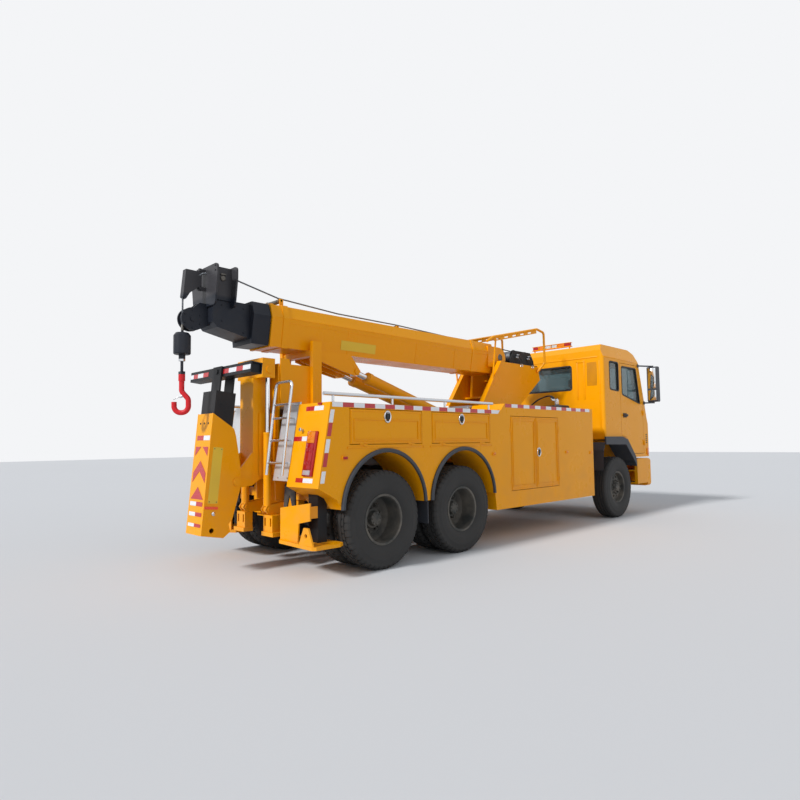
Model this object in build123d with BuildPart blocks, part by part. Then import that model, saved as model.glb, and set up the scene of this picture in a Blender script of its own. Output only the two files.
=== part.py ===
from build123d import *
import os
from math import atan2, cos, degrees, hypot, radians, sin

os.makedirs("parts", exist_ok=True)

# A heavy three-axle recovery truck, in millimetres.
# +X is its left side, +Y its tail and +Z is up. The ground is Z = 0.
# In every outline and table a Y is measured from the rear axle, and the helpers below add
# rear_axle_y, which puts the middle of the whole truck at Y = 0.
rear_axle_y = 2639
axle_gap = 1350
mid_axle = -axle_gap
front_axle = mid_axle - 4450

SIDES = (("right", -1), ("left", 1))

# Wheels
tyre_radius = 542
tyre_width = 284
rim_seat = 262
rim_flange = 280
front_wheel_x = 1050
twin_outer_x = 1092
twin_inner_x = 762
fit_gap = 0.3
running_gap = 0.1
spindle_radius = 38
hub_radius = 92
kingpin_x = 850
kingpin_radius = 22

# Chassis
rail_top = 1060
rail_depth = 300
rail_outer_x = 430
rail_flange = 80
rail_steel = 9
gearbox_rear = -4640
rail_front = -6930
rail_rear = 560

# Body with its lockers
body_x = 1250
locker_wall_x = 700
deck_top = 1807
front_deck_top = 1902
body_front = -4756
body_step = -2156
sill_z = 467
arch_z = 680
arch_radius = 598
panel = 30
door_gap = 7
lid_bottom = 1372
lid_top = 1742
tall_bottom = 703
tall_top = 1730
LIDS = (("rear", -573, 514), ("front", -1898, -757))
hinge_radius = 6
hinge_length = 50
hinge_x = body_x + hinge_radius
tall_rear = -2383
tall_front = -3640
lid_hinge_z = lid_bottom - door_gap / 2
tall_rear_hinge = tall_rear + door_gap / 2
tall_front_hinge = tall_front - door_gap / 2
tall_hinge_z = (840, 1560)

# Boom
boom_pivot = (-3528, 2768)
boom_top = 2985
boom_fold = 2835
boom_bottom = 2500
boom_half = (220, 268, 210)
boom_steel = 12
boom_gap = 9
boom_front = -3375
boom_mouth = 835
boom_pin_radius = 38
lift_eye = (-468, 2309)
lift_foot = (-2750, 1620)
lift_x = 150
lift_barrel_radius = 75
lift_rod_radius = 38
lift_pin_radius = 32
rope_drop = 1762

# Underlift
column_half = 142
column_y = (800, 1000)
column_bottom = 990
column_top = 2130
fold_pin = (1216, 980)
fold_pin_radius = 30
arm_lean = 5.9
arm_half = 175
arm_plate = 15
arm_rear = 352
arm_front_wall = 80
side_gap = 8
crossbar_half = 685
crossbar_size = (125, 115)
column_cylinder = (238, 875)
column_rod_radius = 28
column_barrel_radius = 44

# Cab
cab_x = 1220
cab_wall = 60
cab_rear = -5270
cab_top = 3090


def both(side, inner, outer):
    """The X bounds of a stretch on one side of the truck, low first."""
    return tuple(sorted((side * inner, side * outer)))


def block(x, y, z, mode=Mode.ADD):
    """A box by its bounds."""
    middle = ((x[0] + x[1]) / 2, rear_axle_y + (y[0] + y[1]) / 2, (z[0] + z[1]) / 2)
    with Locations(middle):
        Box(x[1] - x[0], y[1] - y[0], z[1] - z[0], mode=mode)


def slab(outline, x, mode=Mode.ADD, corner=0):
    """A plate cut to a side outline of (Y, Z) points, from one X to another."""
    with BuildSketch(Plane.YZ.offset(x[0])) as profile:
        with BuildLine():
            Polyline(*[(rear_axle_y + y, z) for y, z in outline], close=True)
        make_face()
        if corner:
            fillet(profile.vertices(), corner)
    extrude(profile.sketch, amount=x[1] - x[0], mode=mode)


def front_slab(outline, y, mode=Mode.ADD, corner=0):
    """A plate cut to an outline of (X, Z) points, from one Y to another."""
    with BuildSketch(Plane.XZ.offset(-rear_axle_y - y[1])) as profile:
        with BuildLine():
            Polyline(*outline, close=True)
        make_face()
        if corner:
            fillet(profile.vertices(), corner)
    extrude(profile.sketch, amount=y[1] - y[0], mode=mode)


def bar(start, end, radius, mode=Mode.ADD):
    """A round bar between two (X, Y, Z) points."""
    foot = Vector(start[0], rear_axle_y + start[1], start[2])
    run = Vector(end[0], rear_axle_y + end[1], end[2]) - foot
    with BuildSketch(Plane(origin=foot, z_dir=run.normalized())) as profile:
        Circle(radius)
    extrude(profile.sketch, amount=run.length, mode=mode)


def tube(start, end, radius, bore, mode=Mode.ADD):
    """A round tube between two (X, Y, Z) points."""
    foot = Vector(start[0], rear_axle_y + start[1], start[2])
    run = Vector(end[0], rear_axle_y + end[1], end[2]) - foot
    with BuildSketch(Plane(origin=foot, z_dir=run.normalized())) as profile:
        Circle(radius)
        Circle(bore, mode=Mode.SUBTRACT)
    extrude(profile.sketch, amount=run.length, mode=mode)


def bent_bar(points, radius, bends):
    """A bent round bar along (X, Y, Z) points."""
    route = [Vector(x, rear_axle_y + y, z) for x, y, z in points]
    with BuildLine() as path:
        FilletPolyline(*route, radius=bends)
    with BuildSketch(Plane(origin=route[0], z_dir=path.line % 0)) as profile:
        Circle(radius)
    sweep(profile.sketch, path=path.line)


def turned(points, x, y, z, outward, mode=Mode.ADD):
    """A ring turned about an axle along X; points are (outward from x, radius)."""
    origin = (x, rear_axle_y + y, z)
    with BuildSketch(Plane(origin=origin, x_dir=(outward, 0, 0), z_dir=(0, -outward, 0))) as profile:
        with BuildLine():
            Polyline(*points, close=True)
        make_face()
    revolve(profile.sketch, axis=Axis(origin, (1, 0, 0)), mode=mode)


def save(piece, name):
    """Labels a finished piece and writes its STEP file."""
    piece.part.label = name
    export_step(piece.part, f"parts/{name}.step")


# Chassis: two channel rails tied by crossmembers, with the engine bay left open at the front
with BuildPart() as chassis_frame:
    rail_bottom = rail_top - rail_depth
    for name, side in SIDES:
        web = both(side, rail_outer_x - rail_steel, rail_outer_x)
        block(web, (rail_front, rail_rear), (rail_bottom, rail_top))
        for low in (rail_bottom, rail_top - rail_steel):
            block(
                both(side, rail_outer_x - rail_flange, rail_outer_x),
                (rail_front, rail_rear),
                (low, low + rail_steel),
            )
    rail_web_x = rail_outer_x - rail_steel
    for y in (-6880, -4520, -3700, -2500, -675, 480):
        block((-rail_web_x, rail_web_x), (y - 40, y + 40), (rail_bottom + 60, rail_top - 60))
    for name, side in SIDES:
        block(both(side, 575, 591), (600, 803), (860, 950))
        bracket = ((474, 690), (500, 950), (690, 950), (690, 690), (640, 690), (585, 835), (530, 690))
        front_slab(tuple((side * x, z) for x, z in bracket), (802, 816))
save(chassis_frame, "chassis_frame")

# Front axle: a dropped beam whose end bosses hold the kingpins
boss_half = 70
with BuildPart() as front_axle_beam:
    beam_outline = ((-kingpin_x, 600), (-620, 600), (-520, 540), (520, 540), (620, 600), (kingpin_x, 600))
    lower_outline = tuple((x, z - 110) for x, z in reversed(beam_outline))
    front_slab(beam_outline + lower_outline, (front_axle - 45, front_axle + 45))
    for name, side in SIDES:
        block(both(side, 345, 425), (front_axle - 60, front_axle + 60), (535, 604))
        bar(
            (side * kingpin_x, front_axle, tyre_radius - boss_half),
            (side * kingpin_x, front_axle, tyre_radius + boss_half),
            55,
        )
        bar(
            (side * kingpin_x, front_axle, tyre_radius - boss_half),
            (side * kingpin_x, front_axle, tyre_radius + boss_half),
            kingpin_radius + running_gap,
            Mode.SUBTRACT,
        )
save(front_axle_beam, "front_axle")

# Rear axles: banjo housings with their tubes and spindles, and the shaft that drives them
axle_tube_radius = 72
rear_spindle_radius = 50
rear_spindle_end = 960
with BuildPart() as rear_axles:
    for y in (0, mid_axle):
        housing = (
            (0, 0),
            (rear_spindle_end, 0),
            (rear_spindle_end, rear_spindle_radius),
            (540, rear_spindle_radius),
            (540, axle_tube_radius),
            (260, axle_tube_radius),
            (150, 190),
            (0, 205),
        )
        for name, side in SIDES:
            turned(housing, 0, y, tyre_radius, side)
            block(both(side, 345, 425), (y - 50, y + 50), (tyre_radius, 648))
    bar((0, mid_axle - 190, tyre_radius + 60), (0, mid_axle - 100, tyre_radius + 60), 90)
    bar((0, mid_axle + 100, tyre_radius + 60), (0, -100, tyre_radius + 60), 45)
    bar((0, gearbox_rear + 3, 760), (0, mid_axle - 190, tyre_radius + 60), 55)
save(rear_axles, "rear_axles")

# Springs: stacked leaves, sagging at the front and humped on the trunnion at the tandem
with BuildPart() as leaf_springs:
    for name, side in SIDES:
        width = both(side, 345, 425)
        for leaf in range(4):
            reach = 760 - 150 * leaf
            low = 604 + 20 * leaf
            ends = low + 60 * (reach / 760) ** 2
            outline = (
                (front_axle - reach, ends),
                (front_axle, low),
                (front_axle + reach, ends),
                (front_axle + reach, ends + 20),
                (front_axle, low + 20),
                (front_axle - reach, ends + 20),
            )
            slab(outline, width)
        for end in (-1, 1):
            y = front_axle + end * 740
            block(width, (y - 25, y + 25), (670, rail_top - rail_depth))
        for leaf in range(5):
            reach = 690 - 110 * leaf
            top = 760 - 22 * leaf
            ends = top - 90 * (reach / 690) ** 2
            outline = (
                (-axle_gap / 2 - reach, ends - 22),
                (-axle_gap / 2, top - 22),
                (-axle_gap / 2 + reach, ends - 22),
                (-axle_gap / 2 + reach, ends),
                (-axle_gap / 2, top),
                (-axle_gap / 2 - reach, ends),
            )
            slab(outline, width)
        block(both(side, 345, rail_outer_x), (-axle_gap / 2 - 90, -axle_gap / 2 + 90), (600, 660))
save(leaf_springs, "leaf_springs")

# Engine and gearbox, closed between the rails under the cab
with BuildPart() as engine_block:
    rail_inside = rail_outer_x - rail_flange - 20
    engine_outline = ((-6300, 640), (-6300, 1090), (-6110, 1270), (-5360, 1270), (-5360, 640))
    slab(engine_outline, (-rail_inside, rail_inside))
    block((-210, 210), (-5360, gearbox_rear), (700, 1000))
    for name, side in SIDES:
        block(both(side, rail_inside - 1, rail_outer_x - rail_steel), (-5950, -5850), (850, 930))
save(engine_block, "engine_block")

# Lockers on both sides: a boxed shell with two lids over the wheels and a tall double door
rear_top = (770, deck_top)
rear_foot = (930, 935)
body_outline = (
    rear_top,
    rear_foot,
    (700, 812),
    (620, 700),
    (-1990, 700),
    (-2020, sill_z),
    (body_front, sill_z),
    (body_front, front_deck_top),
    (body_step - 90, front_deck_top),
    (body_step, deck_top),
)
locker_back = locker_wall_x + panel


def tail_face(z):
    """The Y of the leaning tail face of the body at a height."""
    return rear_top[0] + (rear_top[1] - z) * (rear_foot[0] - rear_top[0]) / (rear_top[1] - rear_foot[1])


body_seams = (610, -675, -1975, -3671)
leg_x = (880, 1040)
leg_y = (662, 778)
leg_play = 0.5
for name, side in SIDES:
    with BuildPart() as body:
        slab(body_outline, both(side, locker_wall_x, body_x))
        for y in (0, mid_axle):
            bar(
                (side * (locker_wall_x - 10), y, arch_z),
                (side * (body_x + 10), y, arch_z),
                arch_radius,
                Mode.SUBTRACT,
            )
            block(
                both(side, locker_wall_x - 10, body_x + 10),
                (y - arch_radius, y + arch_radius),
                (sill_z, arch_z),
                Mode.SUBTRACT,
            )
        for lid, low, high in LIDS:
            block(
                both(side, locker_back, body_x + 1),
                (low - door_gap, high + door_gap),
                (lid_bottom - door_gap, lid_top + door_gap),
                Mode.SUBTRACT,
            )
        block(
            both(side, locker_back, body_x + 1),
            (tall_front - door_gap, tall_rear + door_gap),
            (tall_bottom - door_gap, tall_top + door_gap),
            Mode.SUBTRACT,
        )
        block(
            both(side, locker_wall_x - 1, body_x - panel),
            (body_front + panel, tall_front - door_gap - panel),
            (sill_z + panel, front_deck_top - panel),
            Mode.SUBTRACT,
        )
        block(
            both(side, leg_x[0] - leg_play, leg_x[1] + leg_play),
            (leg_y[0] - leg_play, leg_y[1] + leg_play),
            (600, 1500),
            Mode.SUBTRACT,
        )
        for y in body_seams:
            full_x = both(side, locker_wall_x - 1, body_x + 1)
            block(full_x, (y, y + fit_gap), (sill_z - 1, front_deck_top + 1), Mode.SUBTRACT)
        for lid, low, high in LIDS:
            for y in (low + 180, high - 180):
                knuckle = (y - fit_gap - hinge_length, y - fit_gap)
                ends = [(side * hinge_x, end, lid_hinge_z) for end in knuckle]
                bar(*ends, hinge_radius)
                block(both(side, body_x - 1, hinge_x), knuckle, (lid_hinge_z - 22, lid_hinge_z))
        for y, away in ((tall_rear_hinge, 1), (tall_front_hinge, -1)):
            for z in tall_hinge_z:
                knuckle = (z - fit_gap - hinge_length, z - fit_gap)
                bar((side * hinge_x, y, knuckle[0]), (side * hinge_x, y, knuckle[1]), hinge_radius)
                block(both(side, body_x - 1, hinge_x), tuple(sorted((y, y + 22 * away))), knuckle)
    save(body, f"body_{name}")

# Locker lids and doors: pans with a sunken field, hung on knuckles; the lids' knuckles are let in
for name, side in SIDES:
    for lid, low, high in LIDS:
        with BuildPart() as locker_lid:
            block(both(side, body_x - panel, body_x), (low, high), (lid_bottom, lid_top))
            for y in (low + 180, high - 180):
                knuckle = (y, y + hinge_length)
                ends = [(side * hinge_x, end, lid_hinge_z) for end in knuckle]
                bar(*ends, hinge_radius - 2 * fit_gap)
                leaf_x = both(side, body_x + fit_gap, hinge_x)
                block(leaf_x, knuckle, (lid_hinge_z, lid_hinge_z + 22))
            block(
                both(side, body_x - 4, body_x + 1),
                (low + 60, high - 60),
                (lid_bottom + 45, lid_top - 110),
                Mode.SUBTRACT,
            )
        save(locker_lid, f"locker_lid_{lid}_{name}")
    tall_middle = (tall_rear + tall_front) / 2
    leaves = (
        ("rear", tall_middle + door_gap / 2, tall_rear, tall_rear_hinge, -1),
        ("front", tall_front, tall_middle - door_gap / 2, tall_front_hinge, 1),
    )
    for leaf, low, high, hinge_y, toward in leaves:
        with BuildPart() as locker_door:
            block(both(side, body_x - panel, body_x), (low, high), (tall_bottom, tall_top))
            for z in tall_hinge_z:
                knuckle = (z, z + hinge_length)
                ends = [(side * hinge_x, hinge_y, end) for end in knuckle]
                bar(*ends, hinge_radius)
                leaf_y = tuple(sorted((hinge_y, hinge_y + 22 * toward)))
                block(both(side, body_x - 1, hinge_x), leaf_y, knuckle)
            block(
                both(side, body_x - 4, body_x + 1),
                (low + 50, high - 50),
                (tall_bottom + 60, tall_top - 60),
                Mode.SUBTRACT,
            )
        save(locker_door, f"locker_door_{leaf}_{name}")

# Deck between the lockers: plates in two levels, laid edge to edge on crossmembers and left
# open along the middle for the lift cylinders and the pedestal
well_half = 330
well_rear = -1780
pedestal_y = (-4080, -2890)
with BuildPart() as deck_floor:
    deck_x = (-locker_wall_x, locker_wall_x)
    low_deck = (deck_top - panel, deck_top)
    high_deck = (front_deck_top - panel, front_deck_top)
    block(deck_x, (well_rear + fit_gap, 735), low_deck)
    block(deck_x, (body_front, body_front + panel), (rail_top, front_deck_top))
    for name, side in SIDES:
        strip_x = both(side, well_half, locker_wall_x)
        block(strip_x, (body_step + fit_gap, well_rear), low_deck)
        block(strip_x, (body_front + panel + fit_gap, body_step), high_deck)
        block(strip_x, (body_step - panel, body_step), (low_deck[0], high_deck[0] - fit_gap))
        for y in (-4500, -2480):
            block(both(side, well_half, 600), (y - 30, y + 30), (rail_top, high_deck[0] - fit_gap))
    for y in (-1300, -100):
        block((-600, 600), (y - 30, y + 30), (rail_top, low_deck[0] - fit_gap))
save(deck_floor, "deck_floor")

# Wheel arch flares: a rolled lip turned about each axle and cut off at the body's lower edge
flare_width = 45
flare_proud = 30
flare_lip = (
    (fit_gap, arch_radius),
    (fit_gap, arch_radius + flare_width),
    (0.6 * flare_proud, arch_radius + flare_width),
    (flare_proud, arch_radius + 0.7 * flare_width),
    (flare_proud, arch_radius + 0.2 * flare_width),
    (0.8 * flare_proud, arch_radius),
)
with BuildPart() as arch_flares:
    for name, side in SIDES:
        for y in (0, mid_axle):
            turned(flare_lip, side * body_x, y, arch_z, side)
            reach = arch_radius + flare_width + 5
            below = (arch_z - reach, arch_z + 20)
            beside = both(side, body_x - 5, body_x + flare_proud + 5)
            block(beside, (y - reach, y + reach), below, Mode.SUBTRACT)
save(arch_flares, "arch_flares")

# Cab mudguards with their flares, and the flaps between the rear wheels, in black plastic
with BuildPart() as mudguards:
    for name, side in SIDES:
        flap_y = mid_axle / 2
        block(both(side, rail_outer_x, 1240), (flap_y - 6, flap_y + 6), (430, 690))
        block(both(side, rail_outer_x, 700), (flap_y - 20, flap_y + 20), (690, 730))
        guard = (
            (front_axle + 640, 860),
            (front_axle + 600, 1200),
            (front_axle + 530, 1335),
            (front_axle - 230, 1322),
            (front_axle - 590, 1000),
            (front_axle - 655, 900),
        )
        liner = tuple((y, z) for y, z in guard) + tuple((y, z + 12) for y, z in reversed(guard))
        slab(liner, both(side, 900, cab_x))
        flare = (
            (front_axle + 560, 1310),
            (front_axle - 225, 1300),
            (front_axle - 575, 985),
            (front_axle - 640, 890),
            (front_axle - 655, 930),
            (front_axle - 622, 1078),
            (front_axle - 300, 1395),
            (front_axle - 100, 1445),
            (front_axle + 560, 1445),
        )
        slab(flare, both(side, cab_x + fit_gap, cab_x + 32))
save(mudguards, "mudguards")

# Stainless rails along the deck, with the ladder and the bright plate beside it at the tail
rail_z = 1893
rail_tube = 20
with BuildPart() as rails_and_ladder:
    for name, side in SIDES:
        rail_x = side * 1200
        bar((rail_x, -2030, rail_z), (rail_x, 820, rail_z), rail_tube)
        for y in (-1950, -1050, -150, 700):
            bar((rail_x, y, deck_top), (rail_x, y, rail_z), 13)
        plate = ((735, 1835), (755, 1835), (905, 985), (885, 985))
        slab(plate, both(side, 400, locker_wall_x))
    ladder = ((-385, 980, 1050), (-385, 850, 2060), (-690, 850, 2060), (-690, 980, 1050))
    bent_bar(ladder, 16, 60)
    for z in (1180, 1420, 1660, 1810):
        y = 980 - 130 * (z - 1050) / 1010
        bar((-385, y, z), (-690, y, z), 12)
        bar((-640, y, z), (-640, 749 + 150 * (1835 - z) / 850, z), 8)
save(rails_and_ladder, "rails_and_ladder")

# Lamps: tail clusters, side markers, head lamps and the signal bar over the winch
with BuildPart() as lamps:
    for name, side in SIDES:
        low, high = tail_face(1048), tail_face(1508)
        cluster = ((high, 1508), (high + 24, 1504), (low + 24, 1044), (low, 1048))
        slab(cluster, both(side, 967, 1133))
        block(both(side, 820, 1130), (-7128, -7100), (700, 890))
        for y, z in ((590, 1231), (-1975, 1218), (-3880, 1205), (-4660, 1184)):
            block(both(side, body_x, body_x + 14), (y - 35, y + 35), (z - 22, z + 22))
    block((-420, 420), (-5690, -5610), (cab_top + 75, cab_top + 160))
    for x in (-380, 380):
        bar((x, -5650, cab_top), (x, -5650, cab_top + 75), 14)
save(lamps, "lamps")

# Rear frame: the crossmember, the guide of the underlift column, its two lift barrels and the
# slotted shoes under them
guide_top = 1735
web_x = (190, 206)
shoe_x = (200, 380)
shoe_low = 420
with BuildPart() as rear_frame:
    block((-rail_outer_x, rail_outer_x), (560, 600), (520, rail_top))
    block((-270, 270), (735, 757), (1030, 2300))
    beam_face = 600 + fit_gap
    for name, side in SIDES:
        block(both(side, column_half + side_gap, column_half + side_gap + 16), (757, 930), (1030, guide_top))
        web = ((beam_face, 745), (beam_face, 1060), (735, 1300), (757, 1300), (757, 1030), (740, 745))
        slab(web, both(side, *web_x))
        foot_x, foot_y = column_cylinder
        foot_z = 660
        ear = ((beam_face, 590), (beam_face, 740), (840, 712), (900, 706), (930, 660), (900, 614), (840, 600))
        for x in (foot_x - 48, foot_x + 32):
            slab(ear, both(side, x, x + 16))
        bar((side * (foot_x - 56), foot_y, foot_z), (side * (foot_x + 56), foot_y, foot_z), 22)
        bar((side * (foot_x - 26), foot_y, foot_z), (side * (foot_x + 26), foot_y, foot_z), 38)
        block(both(side, 225, 430), (beam_face, 640), (560, 900))
        tube(
            (side * foot_x, column_cylinder[1], 700),
            (side * foot_x, column_cylinder[1], 1490),
            column_barrel_radius,
            column_barrel_radius - 9,
        )
        bar((side * foot_x, foot_y, foot_z), (side * foot_x, foot_y, 700), 22)
        bar((side * foot_x, foot_y, 695), (side * foot_x, foot_y, 712), column_barrel_radius)
        tube(
            (side * foot_x, column_cylinder[1], 1490),
            (side * foot_x, column_cylinder[1], 1515),
            column_barrel_radius + 3,
            column_rod_radius + running_gap,
        )
        block(both(side, rail_outer_x + fit_gap, 470), (540, 620), (560, 1000))
        block(both(side, rail_outer_x + fit_gap, locker_wall_x), (beam_face, 640), (760, 860))
        block(both(side, *shoe_x), (800, 900), (shoe_low, 601))
        for x in (235, 345):
            block(both(side, x - 14, x + 14), (799, 901), (shoe_low + 60, 570), Mode.SUBTRACT)
        block(both(side, shoe_x[0] - 8, shoe_x[1] + 40), (800, 920), (shoe_low - 45, shoe_low))
save(rear_frame, "rear_frame")

# Boom rest: side plates behind the deck, posts beside the boom and the saddle it lies on
with BuildPart() as boom_rest:
    for name, side in SIDES:
        plates = ((300, deck_top), (300, 2300), (600, 2300), (620, 2360), (735, 2360), (735, deck_top))
        slab(plates, both(side, 272, 290))
        block(both(side, 290, 350), (200, 330), (deck_top, 2600))
        block(both(side, 272, 430), (200, 600), (deck_top, deck_top + 16))
    block((-290, 290), (215, 315), (2430, boom_bottom - fit_gap))
    block((-272, 272), (600, 620), (deck_top, 2300))
save(boom_rest, "boom_rest")

# Boom pedestal: two side plates with sloping flanges on a base plate, pin lugs, winch guard
pedestal_x = (300, 322)
lug_x = (176, 222)
cheek_x = (230, boom_half[1])
with BuildPart() as boom_pedestal:
    side_outline = (
        (-3420, 2700),
        (-2900, 1980),
        (-2900, rail_top + 30),
        (-4070, rail_top + 30),
        (-4070, 2030),
        (-4672, 2470),
        (-4600, 2700),
    )
    block((-430, 430), pedestal_y, (rail_top, rail_top + 30))
    for name, side in SIDES:
        slab(side_outline, both(side, *pedestal_x))
        lug = ((-3640, 2130), (-3640, 2768), (-3600, 2850), (-3456, 2850), (-3416, 2768), (-3350, 2130))
        slab(lug, both(side, *lug_x))
        flange = ((-3420, 2700), (-2900, 1980), (-2926, 1980), (-3446, 2700))
        slab(flange, both(side, pedestal_x[0], pedestal_x[1] + 60))
    block((-300, 300), (-3700, -3300), (2100, 2130))
    block((-300, 300), (-4600, -3860), (2440, 2462))
    for name, side in SIDES:
        bar(
            (side * lug_x[0], *boom_pivot),
            (side * lug_x[1], *boom_pivot),
            boom_pin_radius + running_gap,
            Mode.SUBTRACT,
        )
    for name, side in SIDES:
        for x in (lift_x - 62, lift_x + 44):
            ear_y = (lift_foot[0] - 60, lift_foot[0] + 60)
            block(both(side, x, x + 18), ear_y, (rail_top + 30, lift_foot[1] + 50))
            bar(
                (side * x, *lift_foot),
                (side * (x + 18), *lift_foot),
                lift_pin_radius + running_gap,
                Mode.SUBTRACT,
            )
    block((-430, 430), (-2890, -2650), (rail_top, rail_top + 30))
    for name, side in SIDES:
        hoop = (
            (side * 336, -4560, 2600),
            (side * 445, -4640, 2760),
            (side * 445, -4630, 3300),
            (side * 445, -4410, 3335),
            (side * 445, -3130, 3050),
            (side * 445, -2960, 2960),
        )
        bent_bar(hoop, 20, 55)
        bar((side * 365, -3200, 2385), (side * 445, -3200, 3066), 14)
        low_rail = ((-4390, 3318), (-3150, 3042), (-3150, 2982), (-4390, 3258))
        slab(low_rail, both(side, 440, 450))
        for y in range(-4230, -3200, 230):
            z = 3288 - (y + 4390) * 0.2226
            slot = ((y, z + 11), (y + 110, z - 13), (y + 110, z - 35), (y, z - 11))
            slab(slot, both(side, 439, 451), Mode.SUBTRACT)
    bar((-445, -4330, 3317), (445, -4330, 3317), 18)
save(boom_pedestal, "boom_pedestal")

# Winch: two rope drums between end plates, each with its motor
winch_z = 2842
with BuildPart() as winch:
    block((-322, 322), (-4590, -3790), (2700, 2712))
    for name, side in SIDES:
        plate = ((-4560, 2712), (-4540, 2800), (-4440, 2935), (-3940, 2935), (-3840, 2800), (-3820, 2712))
        slab(plate, both(side, 262, 276))
        for y in (-4360, -4015):
            bar((side * 225, y, winch_z), (side * 262, y, winch_z), 70)
    for y in (-4360, -4015):
        bar((-225, y, winch_z), (225, y, winch_z), 82)
        for x in (-225, -6, 213):
            bar((x, y, winch_z), (x + 12, y, winch_z), 112)
save(winch, "winch")


def boom_section(y, amount, inset, mode=Mode.ADD):
    """A stretch of the six-sided boom from one Y, smaller all round by an inset."""
    half_top, half_fold, half_bottom = boom_half
    right_edge = ((half_bottom, boom_bottom), (half_fold, boom_fold), (half_top, boom_top))
    outline = right_edge + tuple((-x, z) for x, z in reversed(right_edge))
    with BuildSketch(Plane.XZ.offset(-rear_axle_y - y - amount)) as profile:
        with BuildLine():
            Polyline(*outline, close=True)
        make_face()
        if inset:
            offset(amount=-inset, kind=Kind.INTERSECTION, mode=Mode.REPLACE)
    extrude(profile.sketch, amount=amount, mode=mode)


# Boom: the outer box with its pin cheeks, wear pads at the mouth and the cylinder bracket
boom_inset = boom_steel + boom_gap
boom_length = boom_mouth - boom_front
rope_guides = ((642, 150, 78), (-1300, 120, 22))
lift_bracket = (
    (194, 2520),
    (194, 2410),
    (-200, 2300),
    (-440, 2250),
    (-500, 2262),
    (-532, 2315),
    (-360, 2520),
)
with BuildPart() as boom_outer:
    boom_section(boom_front, boom_length, 0)
    for y, length in ((600, 80), (boom_mouth - 40, 40), (-2880, 60)):
        boom_section(y, length, -8)
    boom_section(boom_front + boom_steel, boom_length, boom_steel, Mode.SUBTRACT)
    boom_section(boom_mouth - 90, 90, boom_steel)
    boom_section(boom_mouth - 91, 92, boom_inset - fit_gap, Mode.SUBTRACT)
    pin_y, pin_z = boom_pivot
    for name, side in SIDES:
        cheek = ((-3220, 2600), (-3220, 2938), (pin_y, 2938), (pin_y, 2600))
        slab(cheek, both(side, *cheek_x))
        bar((side * cheek_x[0], pin_y, pin_z), (side * cheek_x[1], pin_y, pin_z), 170)
        bar((side * (lug_x[0] - 8), pin_y, pin_z), (side * (cheek_x[1] + 12), pin_y, pin_z), boom_pin_radius)
        bar((side * cheek_x[1], pin_y, pin_z), (side * (cheek_x[1] + 14), pin_y, pin_z), 62)
        for x in (lift_x - 65, lift_x + 45):
            slab(lift_bracket, both(side, x, x + 20))
        eye_y, eye_z = lift_eye
        bar((side * (lift_x + 65), eye_y, eye_z), (side * (lift_x + 78), eye_y, eye_z), 40)
        bar((side * (lift_x - 78), eye_y, eye_z), (side * (lift_x - 65), eye_y, eye_z), 40)
    for y, half, up in rope_guides:
        for name, side in SIDES:
            block(both(side, half, half + 12), (y - 25, y + 25), (boom_top - 1, boom_top + up + 20))
        bar((-half - 6, y, boom_top + up), (half + 6, y, boom_top + up), 17)
    boom_section(boom_mouth - 91, 92, boom_inset - fit_gap, Mode.SUBTRACT)
    boom_section(boom_front + boom_steel, boom_length - 100, boom_steel, Mode.SUBTRACT)
save(boom_outer, "boom_outer")

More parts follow.
